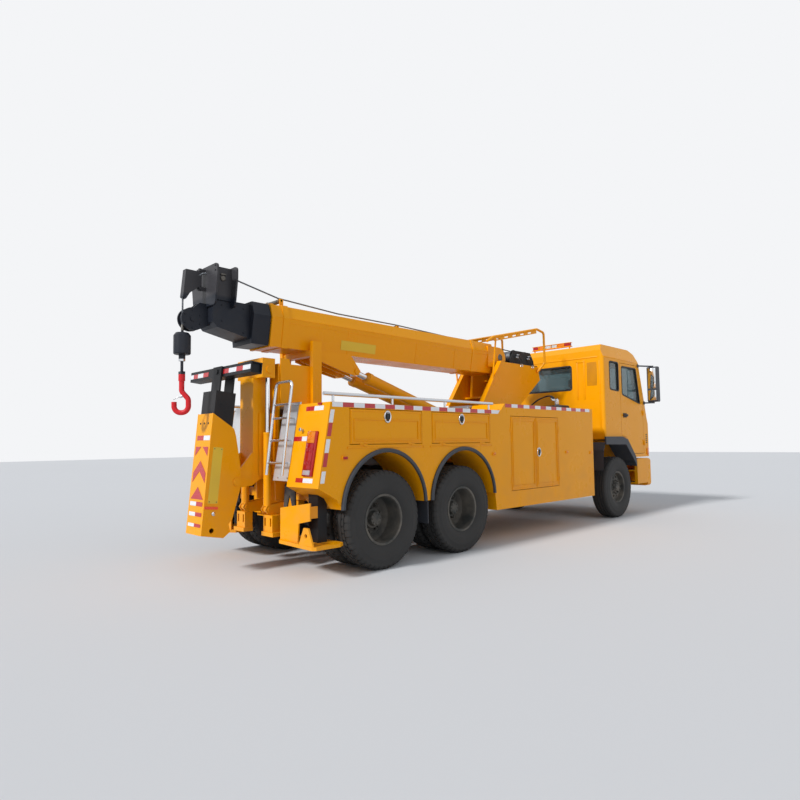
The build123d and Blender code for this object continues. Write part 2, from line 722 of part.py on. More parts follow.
# Inner boom: the sliding box with its heel pads, collar, neck, sheave tower and fairlead
inner_front = -2450
head_front = 1065
tower_y = ((1280, 1300), (1505, 1525))
sheave_centre = (1675, 2720)
sheave_pitch = 87
with BuildPart() as boom_inner:
    boom_section(inner_front, boom_mouth + 15 - inner_front, boom_inset)
    boom_section(inner_front, 90, boom_steel + fit_gap)
    boom_section(boom_mouth + 15, head_front - boom_mouth - 15, 6)
    boom_section(inner_front - 1, head_front - 11 - inner_front, boom_inset + 10, Mode.SUBTRACT)
    neck = ((head_front, 2560), (1455, 2645), (1505, 2700), (1505, 2950), (head_front, 2950))
    neck_inside = ((head_front - 1, 2580), (1448, 2665), (1490, 2710), (1490, 2935), (head_front - 1, 2935))
    slab(neck, (-170, 170))
    slab(neck_inside, (-155, 155), Mode.SUBTRACT)
    tower = ((-250, 2870), (250, 2870), (300, 3180), (300, 3310), (-300, 3310), (-300, 3180))
    for low, high in tower_y:
        front_slab(tower, (low, high), corner=45)
    for name, side in SIDES:
        side_cheek = ((1300, 2940), (1505, 2940), (1505, 3300), (1300, 3300))
        slab(side_cheek, both(side, 170, 188))
    block((-170, 170), (1300, 1505), (2950, 2965))
    for side_x in (-85, 85):
        bar((side_x - 22, 1402, 3180), (side_x + 22, 1402, 3180), 92)
        bar((side_x - 9, 1402, 3180), (side_x + 9, 1402, 3180), 96, Mode.SUBTRACT)
        bar((side_x - 9, 1402, 3180), (side_x + 9, 1402, 3180), 78)
    bar((-188, 1402, 3180), (188, 1402, 3180), 24)
    fairlead = (
        (1572, 3250),
        (1745, 3250),
        (1760, 3100),
        (1775, 2950),
        (1742, 2930),
        (1700, 3000),
        (1600, 3080),
        (1572, 3100),
    )
    slab(fairlead, (-38, 38))
    slab(((1610, 3225), (1720, 3225), (1728, 3120), (1700, 3050), (1610, 3110)), (-24, 24), Mode.SUBTRACT)
    for low in (3060, 3255):
        block((-34, 34), (1525, 1595), (low, low + 26))
    bar((0, 1572, 3050), (0, 1572, 3292), 18)
    block_outline = (
        (1450, 2692),
        (1622, 2606),
        (1675, 2600),
        (1675, 2840),
        (1600, 2905),
        (1505, 2905),
        (1450, 2860),
    )
    for name, side in SIDES:
        slab(block_outline, both(side, 36, 54))
        bar((side * 36, *sheave_centre), (side * 54, *sheave_centre), 122)
        bar((side * 30, *sheave_centre), (side * 66, *sheave_centre), 26)
    turned(((-30, 0), (-30, 104), (-6, 80), (6, 80), (30, 104), (30, 0)), 0, *sheave_centre, 1)
    bar((0, rope_drop, sheave_centre[1] + 2), (0, rope_drop, 2945), 7)
save(boom_inner, "boom_inner")

# Hook: the rope fall with its weight and swivel, and the forged hook turned aside
with BuildPart() as hook_weight:
    bar((0, rope_drop, 2540), (0, rope_drop, sheave_centre[1] - 2), 7)
    bar((0, rope_drop, 2545), (0, rope_drop, 2590), 14)
    weight = ((0, 2335), (78, 2335), (88, 2345), (88, 2535), (66, 2565), (0, 2565))
    with BuildSketch(Plane((0, rear_axle_y + rope_drop, 0), x_dir=(1, 0, 0), z_dir=(0, -1, 0))) as profile:
        with BuildLine():
            Polyline(*weight, close=True)
        make_face()
    revolve(profile.sketch, axis=Axis((0, rear_axle_y + rope_drop, 0), (0, 0, 1)))
    bar((0, rope_drop, 2290), (0, rope_drop, 2335), 34)
    bar((0, rope_drop, 2150), (0, rope_drop, 2290), 15)
    block((-34, 34), (rope_drop - 22, rope_drop + 22), (2125, 2155))
save(hook_weight, "hook_weight")

hook_steel = 27
with BuildPart() as crane_hook:
    hook_plane = Plane((0, rear_axle_y + rope_drop, 0), x_dir=(1, 1, 0), z_dir=(1, -1, 0))
    with BuildLine(hook_plane) as hook_path:
        FilletPolyline(
            (0, 2080),
            (0, 1945),
            (-72, 1865),
            (-74, 1722),
            (76, 1722),
            (78, 1835),
            radius=[60, 60, 70, 70],
        )
    with BuildSketch(Plane(hook_path.line @ 0, z_dir=hook_path.line % 0)) as profile:
        Circle(hook_steel)
    sweep(profile.sketch, path=hook_path.line)
    bar((0, rope_drop, 2055), (0, rope_drop, 2125 - fit_gap), 34)
save(crane_hook, "crane_hook")

# Lift cylinders: barrels on the pedestal ears and the rods that push the boom up
lift_run = (lift_eye[0] - lift_foot[0], lift_eye[1] - lift_foot[1])
lift_length = hypot(*lift_run)
lift_way = (lift_run[0] / lift_length, lift_run[1] / lift_length)
lift_barrel_end = lift_length - 240
lift_rod_length = 1560


def on_lift(side, along):
    """The point on a lift cylinder's middle line at a distance from its foot."""
    return (side * lift_x, lift_foot[0] + along * lift_way[0], lift_foot[1] + along * lift_way[1])


with BuildPart() as lift_cylinder_barrels:
    for name, side in SIDES:
        bar((side * (lift_x - 39), *lift_foot), (side * (lift_x + 39), *lift_foot), 58)
        bar(on_lift(side, 30), on_lift(side, 125), 38)
        bar(on_lift(side, 115), on_lift(side, lift_barrel_end), lift_barrel_radius)
        bar(on_lift(side, lift_barrel_end - 60), on_lift(side, lift_barrel_end + 8), lift_barrel_radius + 7)
        bore = lift_rod_radius + running_gap
        bar(on_lift(side, 160), on_lift(side, lift_barrel_end + 9), bore, Mode.SUBTRACT)
        bar((side * (lift_x - 68), *lift_foot), (side * (lift_x + 68), *lift_foot), lift_pin_radius)
save(lift_cylinder_barrels, "lift_cylinder_barrels")

with BuildPart() as lift_cylinder_rods:
    for name, side in SIDES:
        bar(on_lift(side, lift_length - lift_rod_length), on_lift(side, lift_length - 30), lift_rod_radius)
        bar((side * (lift_x - 39), *lift_eye), (side * (lift_x + 39), *lift_eye), 58)
save(lift_cylinder_rods, "lift_cylinder_rods")

# Underlift column: a box between its guides, ears for the fold pin, and its head with two rods
ear_x = (112, column_half - 2)
with BuildPart() as underlift_column:
    block((-column_half, column_half), column_y, (column_bottom, column_top))
    block(
        (-column_half + 14, column_half - 14),
        (column_y[0] + 14, column_y[1] - 14),
        (column_bottom - 1, column_top + 1),
        Mode.SUBTRACT,
    )
    for name, side in SIDES:
        fold_ear = (
            (900, 1290),
            (900, 1000),
            (1010, 925),
            (1216, 912),
            (1216, 1048),
            (1100, 1180),
            (1010, 1290),
        )
        slab(fold_ear, both(side, *ear_x))
        bar((side * ear_x[0], *fold_pin), (side * ear_x[1], *fold_pin), 68)
        rod_x, rod_y = column_cylinder
        bar((side * rod_x, rod_y, 1104), (side * rod_x, rod_y, column_top + 30), column_rod_radius)
        bar((side * 275, rod_y, 2220), (side * 288, rod_y, 2220), 40)
    bar((-arm_half - 14, *fold_pin), (arm_half + 14, *fold_pin), fold_pin_radius)
    for name, side in SIDES:
        bar((side * (arm_half + 2), *fold_pin), (side * (arm_half + 14), *fold_pin), 44)
    block((-275, 275), (800, 960), (column_top, 2350))
    block((-258, 258), (799, 943), (column_top + 17, 2333), Mode.SUBTRACT)
save(underlift_column, "underlift_column")


def on_arm(points):
    """Side-outline points given as (rearward from the fold pin, up along the arm)."""
    lean = radians(arm_lean)
    return tuple(
        (
            fold_pin[0] + back * cos(lean) - up * sin(lean),
            fold_pin[1] + back * sin(lean) + up * cos(lean),
        )
        for back, up in points
    )


# Underlift arm: the folding box with its heel, open at the top for the inner arm
arm_side = (
    (353, 707),
    (92, 568),
    (60, 489),
    (-39, 121),
    (-53, -65),
    (8, -392),
    (46, -452),
    (21, -533),
    (92, -597),
    (346, -574),
)
inner_half = 150
inner_back = (arm_front_wall + 20, arm_rear - 22)
arm_inside = (arm_front_wall + arm_plate, arm_rear - arm_plate)
with BuildPart() as underlift_arm:
    for name, side in SIDES:
        slab(on_arm(arm_side), both(side, arm_half - arm_plate, arm_half))
        bar((side * 160, *fold_pin), (side * arm_half, *fold_pin), 72)
    walls = (
        ((arm_front_wall, -590), (arm_inside[0], -590), (arm_inside[0], 565), (arm_front_wall, 555)),
        ((arm_inside[1], -575), (arm_rear - 6, -575), (arm_rear, 704), (arm_inside[1], 697)),
        ((arm_front_wall, -596), (arm_rear - 6, -574), (arm_rear - 6, -559), (arm_front_wall, -581)),
    )
    for wall in walls:
        slab(on_arm(wall), (-arm_half + arm_plate, arm_half - arm_plate))
    pads = (
        (arm_inside[0], inner_back[0] - fit_gap, 440, 540),
        (inner_back[1] + fit_gap, arm_inside[1], 560, 660),
    )
    for near, far, low, high in pads:
        slab(on_arm(((near, low), (far, low), (far, high), (near, high))), (-120, 120))
    side_pad = ((150, 420), (290, 420), (290, 560), (150, 560))
    for name, side in SIDES:
        slab(on_arm(side_pad), both(side, inner_half + fit_gap, arm_half - arm_plate))
        bar(
            (side * (arm_half - arm_plate - 1), *fold_pin),
            (side * (arm_half + 1), *fold_pin),
            fold_pin_radius + running_gap,
            Mode.SUBTRACT,
        )
        heel_hole = on_arm(((235, -520),))[0]
        bar(
            (side * (arm_half - arm_plate - 1), *heel_hole),
            (side * (arm_half + 1), *heel_hole),
            26,
            Mode.SUBTRACT,
        )
save(underlift_arm, "underlift_arm")

# Inner arm: the sliding box with a fork at its end that holds the crossbar's pin
inner_top = 955
pivot_up = 1178
fork_front = (100, 118)
fork_rear = (254, 272)
crossbar_back = (fork_front[1] + 4, fork_rear[0] - 4)
swivel_radius = 27
with BuildPart() as underlift_arm_inner:
    tube_outline = (
        (inner_back[0], -300),
        (inner_back[1], -300),
        (inner_back[1], inner_top),
        (inner_back[0], inner_top),
    )
    tube_inside = (
        (inner_back[0] + 12, -301),
        (inner_back[1] - 12, -301),
        (inner_back[1] - 12, inner_top - 15),
        (inner_back[0] + 12, inner_top - 15),
    )
    slab(on_arm(tube_outline), (-inner_half, inner_half))
    slab(on_arm(tube_inside), (-inner_half + 12, inner_half - 12), Mode.SUBTRACT)
    for low, high in (fork_front, fork_rear):
        fork = ((low, inner_top - 60), (high, inner_top - 60), (high, 1236), (low, 1236))
        slab(on_arm(fork), (-95, 95))
    pin_ends = on_arm(((fork_front[0] - 10, pivot_up), (fork_rear[1] + 10, pivot_up)))
    bar((0, *pin_ends[0]), (0, *pin_ends[1]), swivel_radius)
save(underlift_arm_inner, "underlift_arm_inner")

# Crossbar: a square tube on its swivel pin with an upright fork socket near each end
socket_x = 610
socket_radius = 25
with BuildPart() as crossbar:
    low, high = pivot_up - crossbar_size[1] / 2, pivot_up + crossbar_size[1] / 2
    front, back = crossbar_back
    slab(on_arm(((front, low), (back, low), (back, high), (front, high))), (-crossbar_half, crossbar_half))
    for name, side in SIDES:
        near, far, floor, roof = front + 12, back - 12, low + 12, high - 12
        hollow = ((near, floor), (far, floor), (far, roof), (near, roof))
        slab(on_arm(hollow), both(side, 110, 520), Mode.SUBTRACT)
        slab(on_arm(hollow), both(side, 660, crossbar_half + 1), Mode.SUBTRACT)
        socket = on_arm(((front - 1, pivot_up), (back + 1, pivot_up)))
        bar((side * socket_x, *socket[0]), (side * socket_x, *socket[1]), socket_radius, Mode.SUBTRACT)
    socket = on_arm(((front - 1, pivot_up), (back + 1, pivot_up)))
    bar((0, *socket[0]), (0, *socket[1]), swivel_radius + running_gap, Mode.SUBTRACT)
save(crossbar, "crossbar")

# Stabiliser legs: a box sliding down out of the body, its foot with a stepped stiffening plate
# and the upright lug of the tie-down eye
foot_low = 330
foot_top = 365
step_y = (880, 896)
lug_y = (943, 963)
tie_down = (1088, 462)
for name, side in SIDES:
    with BuildPart() as stabiliser_leg:
        block(both(side, *leg_x), leg_y, (foot_top, 1420))
        with BuildSketch(Plane.XY.offset(foot_low)) as profile:
            with BuildLine():
                Polyline(
                    (side * 480, rear_axle_y + 640),
                    (side * 600, rear_axle_y + 562),
                    (side * 1180, rear_axle_y + 562),
                    (side * 1235, rear_axle_y + 640),
                    (side * 1235, rear_axle_y + 940),
                    (side * 1200, rear_axle_y + 975),
                    (side * 560, rear_axle_y + 930),
                    (side * 480, rear_axle_y + 860),
                    close=True,
                )
            make_face()
        extrude(profile.sketch, amount=foot_top - foot_low)
        block(both(side, 500, 870), (600, 620), (foot_top - 1, foot_top + 14))
        step = ((530, foot_top - 1), (850, foot_top - 1), (870, 560), (1065, 600), (1065, 780), (530, 700))
        front_slab(tuple((side * x, z) for x, z in step), step_y)
        for x in (leg_x[0], leg_x[1] - 16):
            block(both(side, x, x + 16), (leg_y[1] - 1, step_y[0] + 1), (620, 740))
        lug = ((965, foot_top - 1), (1205, foot_top - 1), (1125, 540), (1050, 540))
        front_slab(tuple((side * x, z) for x, z in lug), lug_y)
        eye_x, eye_z = side * tie_down[0], tie_down[1]
        bar((eye_x, lug_y[0] - 1, eye_z), (eye_x, lug_y[1] + 1, eye_z), 22, Mode.SUBTRACT)
    save(stabiliser_leg, f"stabiliser_leg_{name}")

# Tyres: the front ones single, the rear ones in pairs on one hub
bead = rim_seat + fit_gap
bead_half = 104
shoulder = (
    (-bead_half + fit_gap, bead),
    (-bead_half + fit_gap, rim_flange + 2),
    (-tyre_width / 2 + 8, rim_flange + 24),
    (-tyre_width / 2, 350),
    (-tyre_width / 2, 455),
    (-tyre_width / 2 + 14, tyre_radius - 22),
    (-tyre_width / 2 + 38, tyre_radius),
)
tyre_profile = shoulder + tuple((-x, r) for x, r in reversed(shoulder))
for name, side in SIDES:
    with BuildPart() as tyre:
        turned(tyre_profile, side * front_wheel_x, front_axle, tyre_radius, side)
    save(tyre, f"tyre_front_{name}")
for place, axle in (("mid", mid_axle), ("rear", 0)):
    for name, side in SIDES:
        with BuildPart() as tyres:
            for x in (twin_outer_x, twin_inner_x):
                turned(tyre_profile, side * x, axle, tyre_radius, side)
        save(tyres, f"tyres_{place}_{name}")

# Wheels: rims with hand holes; the front discs bulge outwards and the rear ones are dished
rim_steel = 10
seat_inside = rim_seat - rim_steel
rim_edge = bead_half + 10
hand_hole_radius = 24
hand_hole_circle = 176


def barrel(x, outward, y):
    """The drop-free barrel of one rim with its two flanges."""
    section = (
        (-rim_edge, seat_inside + 4),
        (-rim_edge, rim_flange),
        (-bead_half, rim_flange),
        (-bead_half, rim_seat),
        (bead_half, rim_seat),
        (bead_half, rim_flange),
        (rim_edge, rim_flange),
        (rim_edge, seat_inside + 4),
        (bead_half, seat_inside),
        (-bead_half, seat_inside),
    )
    turned(section, x, y, tyre_radius, outward)


def hand_holes(x, y, outward, count):
    """A ring of round holes through a wheel disc."""
    with BuildSketch(Plane((x, rear_axle_y + y, tyre_radius), x_dir=(0, 1, 0), z_dir=(1, 0, 0))) as ring:
        with PolarLocations(hand_hole_circle, count):
            Circle(hand_hole_radius)
    extrude(ring.sketch, amount=90, both=True, mode=Mode.SUBTRACT)


front_disc = (
    (-95, spindle_radius + running_gap),
    (-95, hub_radius),
    (52, hub_radius),
    (52, 130),
    (18, 230),
    (18, seat_inside + 1),
    (32, seat_inside + 1),
    (32, 236),
    (66, 142),
    (66, hub_radius - 10),
    (112, hub_radius - 22),
    (112, 0),
    (66, 0),
    (66, spindle_radius + running_gap),
)
for name, side in SIDES:
    with BuildPart() as rim:
        barrel(side * front_wheel_x, side, front_axle)
        turned(front_disc, side * front_wheel_x, front_axle, tyre_radius, side)
        hand_holes(side * front_wheel_x, front_axle, side, 10)
    save(rim, f"rim_front_{name}")

disc_x = (twin_outer_x + twin_inner_x) / 2
rear_hub = (
    (590, rear_spindle_radius + running_gap),
    (590, 200),
    (disc_x - 130, 200),
    (disc_x - 130, 118),
    (disc_x + 95, 108),
    (disc_x + 95, 84),
    (disc_x + 150, 74),
    (disc_x + 150, 0),
    (rear_spindle_end + 6, 0),
    (rear_spindle_end + 6, rear_spindle_radius + running_gap),
)
for place, axle in (("mid", mid_axle), ("rear", 0)):
    for name, side in SIDES:
        with BuildPart() as rims:
            for x in (twin_outer_x, twin_inner_x):
                barrel(side * x, side, axle)
            dish = (
                (-12, 110),
                (12, 110),
                (12, 215),
                (70, seat_inside + 1),
                (50, seat_inside + 1),
                (0, 222),
                (-50, seat_inside + 1),
                (-70, seat_inside + 1),
                (-12, 215),
            )
            turned(dish, side * disc_x, axle, tyre_radius, side)
            turned(rear_hub, 0, axle, tyre_radius, side)
            hand_holes(side * disc_x, axle, side, 8)
        save(rims, f"rims_{place}_{name}")

# Steering knuckles: a yoke about the axle's end boss with the kingpin and the wheel spindle
yoke_gap = 5
for name, side in SIDES:
    with BuildPart() as knuckle:
        yoke = boss_half + yoke_gap
        pin_x = side * kingpin_x
        reach = kingpin_x + 64
        block(
            both(side, reach, reach + 34),
            (front_axle - 55, front_axle + 55),
            (tyre_radius - yoke - 34, tyre_radius + yoke + 34),
        )
        for low, high in ((-yoke - 34, -yoke), (yoke, yoke + 34)):
            bar((pin_x, front_axle, tyre_radius + low), (pin_x, front_axle, tyre_radius + high), 50)
            block(
                both(side, kingpin_x, reach + 1),
                (front_axle - 50, front_axle + 50),
                (tyre_radius + low, tyre_radius + high),
            )
        bar(
            (pin_x, front_axle, tyre_radius - yoke - 1),
            (pin_x, front_axle, tyre_radius + yoke + 1),
            kingpin_radius,
        )
        bar(
            (side * reach, front_axle, tyre_radius),
            (side * (front_wheel_x + 62), front_axle, tyre_radius),
            spindle_radius,
        )
    save(knuckle, f"steering_knuckle_{name}")

# Cab: a walled shell with door, windscreen, quarter and rear openings, open under the doors
cab_outline = (
    (-5300, 1400),
    (cab_rear, 1600),
    (cab_rear, 2980),
    (cab_rear - 110, cab_top),
    (-6450, cab_top),
    (-6640, 3020),
    (-6712, 2900),
    (-7035, 1800),
    (-7080, 1690),
    (-7080, rail_top),
    (-6400, rail_top),
    (-6050, 1360),
)
door_outline = (
    (-5925, 1470),
    (-6130, 1430),
    (-6430, 1130),
    (-6860, 1130),
    (-6860, 2050),
    (-6655, 2790),
    (-5925, 2790),
)
door_window = ((-5990, 2220), (-6755, 2070), (-6600, 2735), (-5990, 2735))
quarter_window = ((-5510, 2290), (-5860, 2270), (-5860, 2790), (-5510, 2790))
rear_window = ((-610, 2300), (610, 2300), (610, 2740), (-610, 2740))
cab_gap = 8
cab_hinge_radius = 11
cab_hinge = (cab_x + cab_hinge_radius, door_outline[3][0] - cab_gap / 2)
cab_hinge_z = (1330, 1900)
glass = 8
window_corner = 45
cab_corner = 55
screen_half = 1060
screen_z = (1900, 2830)


def grown(outline, amount, x, mode=Mode.ADD):
    """A plate cut to a side outline that is first grown all round, or shrunk."""
    with BuildSketch(Plane.YZ.offset(x[0])) as profile:
        with BuildLine():
            Polyline(*[(rear_axle_y + y, z) for y, z in outline], close=True)
        make_face()
        offset(amount=amount, kind=Kind.INTERSECTION, mode=Mode.REPLACE)
    extrude(profile.sketch, amount=x[1] - x[0], mode=mode)


def roof_corners(half, top, mode):
    """The slanting cuts that draw the roof in along both sides."""
    for side_name, turn in SIDES:
        corner = ((turn * (half + 1), 2850), (turn * (half + 1), top + 1), (turn * (half - 80), top + 1))
        front_slab(corner, (-7200, -5200), mode)


with BuildPart() as cab_room:
    grown(cab_outline, -cab_wall, (-cab_x + cab_wall, cab_x - cab_wall))
    roof_corners(cab_x - cab_wall, cab_top - cab_wall, Mode.SUBTRACT)

with BuildPart() as cab_shell:
    slab(cab_outline, (-cab_x, cab_x))
    rear_edges = cab_shell.edges().filter_by(Axis.Z).group_by(Axis.Y)[-1]
    fillet(rear_edges, cab_corner)
    roof_corners(cab_x, cab_top, Mode.SUBTRACT)
    add(cab_room.part, mode=Mode.SUBTRACT)
    for name, side in SIDES:
        grown(door_outline, cab_gap, both(side, cab_x - cab_wall - 1, cab_x + 1), Mode.SUBTRACT)
        slab(quarter_window, both(side, cab_x - cab_wall - 1, cab_x + 1), Mode.SUBTRACT, window_corner)
        for z in cab_hinge_z:
            knuckle = (z - fit_gap - hinge_length, z - fit_gap)
            foot = (side * cab_hinge[0], cab_hinge[1])
            bar((*foot, knuckle[0]), (*foot, knuckle[1]), cab_hinge_radius)
            block(both(side, cab_x - 1, cab_hinge[0]), (cab_hinge[1] - 36, cab_hinge[1]), knuckle)
    front_slab(rear_window, (cab_rear - cab_wall - 1, cab_rear + 1), Mode.SUBTRACT, window_corner)
    block((-screen_half, screen_half), (-7100, -6600), screen_z, Mode.SUBTRACT)
save(cab_shell, "cab_shell")


def screen_y(z, depth):
    """The Y of the windscreen's plane at a height, a depth inside the cab's front."""
    low, high = cab_outline[7], cab_outline[6]
    return low[0] + (z - low[1]) * (high[0] - low[0]) / (high[1] - low[1]) + depth


with BuildPart() as cab_glass:
    low, high = screen_z
    pane = (
        (screen_y(low, 20), low),
        (screen_y(high, 20), high),
        (screen_y(high, 20 + glass), high),
        (screen_y(low, 20 + glass), low),
    )
    slab(pane, (-screen_half, screen_half))
    for name, side in SIDES:
        slab(quarter_window, both(side, cab_x - 30, cab_x - 30 + glass), corner=window_corner)
    front_slab(rear_window, (cab_rear - 34, cab_rear - 34 + glass), corner=window_corner)
save(cab_glass, "cab_glass")

for name, side in SIDES:
    with BuildPart() as cab_door:
        slab(door_outline, both(side, cab_x - cab_wall, cab_x))
        slab(door_window, both(side, cab_x - cab_wall - 1, cab_x + 1), Mode.SUBTRACT, window_corner)
        for z in cab_hinge_z:
            foot = (side * cab_hinge[0], cab_hinge[1])
            bar((*foot, z), (*foot, z + hinge_length), cab_hinge_radius)
            leaf = (cab_hinge[1], cab_hinge[1] + 36)
            block(both(side, cab_x - 1, cab_hinge[0]), leaf, (z, z + hinge_length))
        block(both(side, cab_x - 1, cab_x + 26), (-6160, -5990), (1819, 1851))
        block(both(side, cab_x - 22, cab_x + 12), (-6135, -6015), (1805, 1865), Mode.SUBTRACT)
    save(cab_door, f"cab_door_{name}")
    with BuildPart() as door_glass:
        slab(door_window, both(side, cab_x - 30, cab_x - 30 + glass), corner=window_corner)
    save(door_glass, f"door_glass_{name}")

# Cab interior: two seats, the dash, the engine cover and the steering wheel
with BuildPart() as cab_interior:
    for name, side in SIDES:
        slab(((-6040, 1421), (-5560, 1447), (-5560, 1501), (-6040, 1501)), both(side, 360, 840))
        seat = (
            (-6160, 1500),
            (-6160, 1610),
            (-6080, 1640),
            (-5580, 1600),
            (-5460, 2420),
            (-5370, 2400),
            (-5470, 1500),
        )
        slab(seat, both(side, 340, 860))
    dash = (
        (-7012, 1480),
        (-7012, 1650),
        (-6962, 1790),
        (-6890, 1860),
        (-6700, 1840),
        (-6640, 1560),
        (-6800, 1480),
    )
    slab(dash, (-1140, 1140))
    block((-1140, 1140), (-7000, -6830), (rail_top + cab_wall, 1480))
    bar((600, -6720, 1760), (600, -6540, 1880), 22)
    with BuildSketch(Plane((600, rear_axle_y - 6540, 1880), x_dir=(1, 0, 0), z_dir=(0, 0.6, 0.8))) as profile:
        Circle(225)
        Circle(195, mode=Mode.SUBTRACT)
        Rectangle(400, 34)
    extrude(profile.sketch, amount=24)
save(cab_interior, "cab_interior")

# Bumper wrapped round the cab's corners, with the entry steps behind its returns
with BuildPart() as bumper:
    front_slab(((-1235, 500), (1235, 500), (1235, 1030), (-1235, 1030)), (-7100, -6955), corner=60)
    for name, side in SIDES:
        block(both(side, 1180, 1235), (-6960, -6500), (560, 1030))
        for z in (560, 790):
            block(both(side, 960, 1190), (-6840, -6500), (z, z + 26))
        block(both(side, 960, 976), (-6960, -6500), (560, 1030))
        block(both(side, 350, 430), (-6960, rail_front), (700, 1030))
save(bumper, "bumper")

# Mirrors: tall housings on two arms from each windscreen pillar
with BuildPart() as mirrors:
    for name, side in SIDES:
        housing = ((-7055, 2110), (-6925, 2110), (-6925, 2790), (-7055, 2790))
        slab(housing, both(side, 1300, 1490), corner=35)
        for z, y in ((2095, -6924), (2800, -6695)):
            block(both(side, cab_x, cab_x + 16), (y - 22, y + 22), (z - 30, z + 30))
            bar((side * (cab_x + 12), y, z), (side * 1395, -6985, z), 14)
        bar((side * 1395, -6985, 2081), (side * 1395, -6985, 2814), 14)
save(mirrors, "mirrors")
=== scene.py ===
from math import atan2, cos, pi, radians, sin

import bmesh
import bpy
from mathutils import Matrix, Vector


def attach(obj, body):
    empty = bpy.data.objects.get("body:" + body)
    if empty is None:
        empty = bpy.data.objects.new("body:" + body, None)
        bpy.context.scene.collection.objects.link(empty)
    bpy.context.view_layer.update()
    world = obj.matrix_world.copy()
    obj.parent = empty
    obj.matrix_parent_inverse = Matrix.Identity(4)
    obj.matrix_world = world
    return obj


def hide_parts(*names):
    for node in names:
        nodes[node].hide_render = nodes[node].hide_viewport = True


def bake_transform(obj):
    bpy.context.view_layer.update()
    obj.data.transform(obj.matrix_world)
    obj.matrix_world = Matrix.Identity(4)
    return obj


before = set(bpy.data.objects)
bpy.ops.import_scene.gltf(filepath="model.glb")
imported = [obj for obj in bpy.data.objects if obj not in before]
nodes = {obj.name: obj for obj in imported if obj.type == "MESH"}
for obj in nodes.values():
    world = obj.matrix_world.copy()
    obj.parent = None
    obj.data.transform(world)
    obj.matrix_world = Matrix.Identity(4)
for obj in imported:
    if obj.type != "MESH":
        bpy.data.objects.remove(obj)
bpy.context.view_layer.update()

# %% [markdown]
# # A heavy recovery truck
# The engineering model of the truck is already loaded: its frame, lockers, boom and wheels stand
# in metres with +X to the truck's left, +Y to its tail and the ground at Z = 0. This lesson gives
# each of those parts its real finish and adds the thin, small and worn things that a solid model
# leaves out, such as tyre tread, tape, latches, wire rope and lamp lenses.

TAIL = 2.639            # Y of the rear axle, from which the drawings measure
WHEEL_Z = 0.542
SIDES = (("right", -1), ("left", 1))

# %% [markdown]
# ## Looking from where the photographer stood
# A picture taken with a short lens from close by has strong perspective, so the camera has to
# stand at the same spot and not only point the same way. Its place and lens were solved from
# known sizes, the tyres and the body width, and are written here as plain numbers. The roll is a
# fraction of a degree, as in any hand-held picture.

# %% Camera
FRAME_WIDTH = 800
FOCAL_PIXELS = 584.26
YAW, PITCH, ROLL = 0.790205, 0.063804, -0.011962

ahead = Vector((sin(YAW) * cos(PITCH), -cos(YAW) * cos(PITCH), sin(PITCH)))
across = Vector((-cos(YAW), -sin(YAW), 0))
upward = across.cross(ahead)
level_x = across * cos(ROLL) + upward * sin(ROLL)
level_y = upward * cos(ROLL) - across * sin(ROLL)
camera_data = bpy.data.cameras.new("camera")
camera_data.sensor_width = 36
camera_data.lens = FOCAL_PIXELS / FRAME_WIDTH * camera_data.sensor_width
camera_data.shift_y = 5.35 / FRAME_WIDTH
camera = bpy.data.objects.new("camera", camera_data)
bpy.context.scene.collection.objects.link(camera)
camera.matrix_world = Matrix.Translation((-5.9464, TAIL + 4.4307, 1.3815)) @ Matrix(
    (level_x, level_y, -ahead)
).transposed().to_4x4()
bpy.context.scene.camera = camera
print("lens", round(camera_data.lens, 2), "mm")

# %% [markdown]
# ## Light like an open yard
# The real truck stands in the open with the sun behind the tail, so its tail glows and its side is
# in soft shade. A small sun does that, and a broad faint one and a pale sky fill the shade without
# hiding the dark underside.

# %% World, sun and floor


def linear(code):
    """Turns an sRGB hex colour such as "F2A900" into linear RGBA."""
    channels = [int(code[i:i + 2], 16) / 255 for i in (0, 2, 4)]
    return [c / 12.92 if c <= 0.04045 else ((c + 0.055) / 1.055) ** 2.4 for c in channels] + [1.0]


def add_node(tree, kind, settings=None, links=None):
    """Adds one shader node, sets its options and fills or links its inputs."""
    made = tree.nodes.new(kind)
    for name, value in (settings or {}).items():
        setattr(made, name, value)
    for socket, value in (links or {}).items():
        if isinstance(value, bpy.types.NodeSocket):
            tree.links.new(value, made.inputs[socket])
        else:
            made.inputs[socket].default_value = value
    return made


finishes = {}


def new_finish(name):
    """Starts a material by its real name and gives back its empty node tree."""
    material = finishes[name] = bpy.data.materials.new(name)
    material.use_nodes = True
    material.node_tree.nodes.clear()
    return material.node_tree


SKY_GLOW = 0.44         # what the sky sheds on the truck; a ray that sees it gets the full white
scene = bpy.context.scene
scene.view_settings.view_transform = "Standard"
world = bpy.data.worlds.new("soft sky")
world.use_nodes = True
scene.world = world
sky = world.node_tree
sky.nodes.clear()
path = add_node(sky, "ShaderNodeLightPath")
through = add_node(sky, "ShaderNodeMath", {"operation": "MAXIMUM"},
                   {0: path.outputs["Is Camera Ray"], 1: path.outputs["Is Transmission Ray"]})
seen = add_node(sky, "ShaderNodeMath", {"operation": "MAXIMUM"},
                {0: through.outputs[0], 1: path.outputs["Is Glossy Ray"]})
lit = add_node(sky, "ShaderNodeBackground", links={"Color": linear("E4EAF2"), "Strength": SKY_GLOW})
shown = add_node(sky, "ShaderNodeBackground", links={"Color": linear("F4F5F7"), "Strength": 1.0})
mix = add_node(sky, "ShaderNodeMixShader",
               links={0: seen.outputs[0], 1: lit.outputs[0], 2: shown.outputs[0]})
add_node(sky, "ShaderNodeOutputWorld", links={"Surface": mix.outputs[0]})


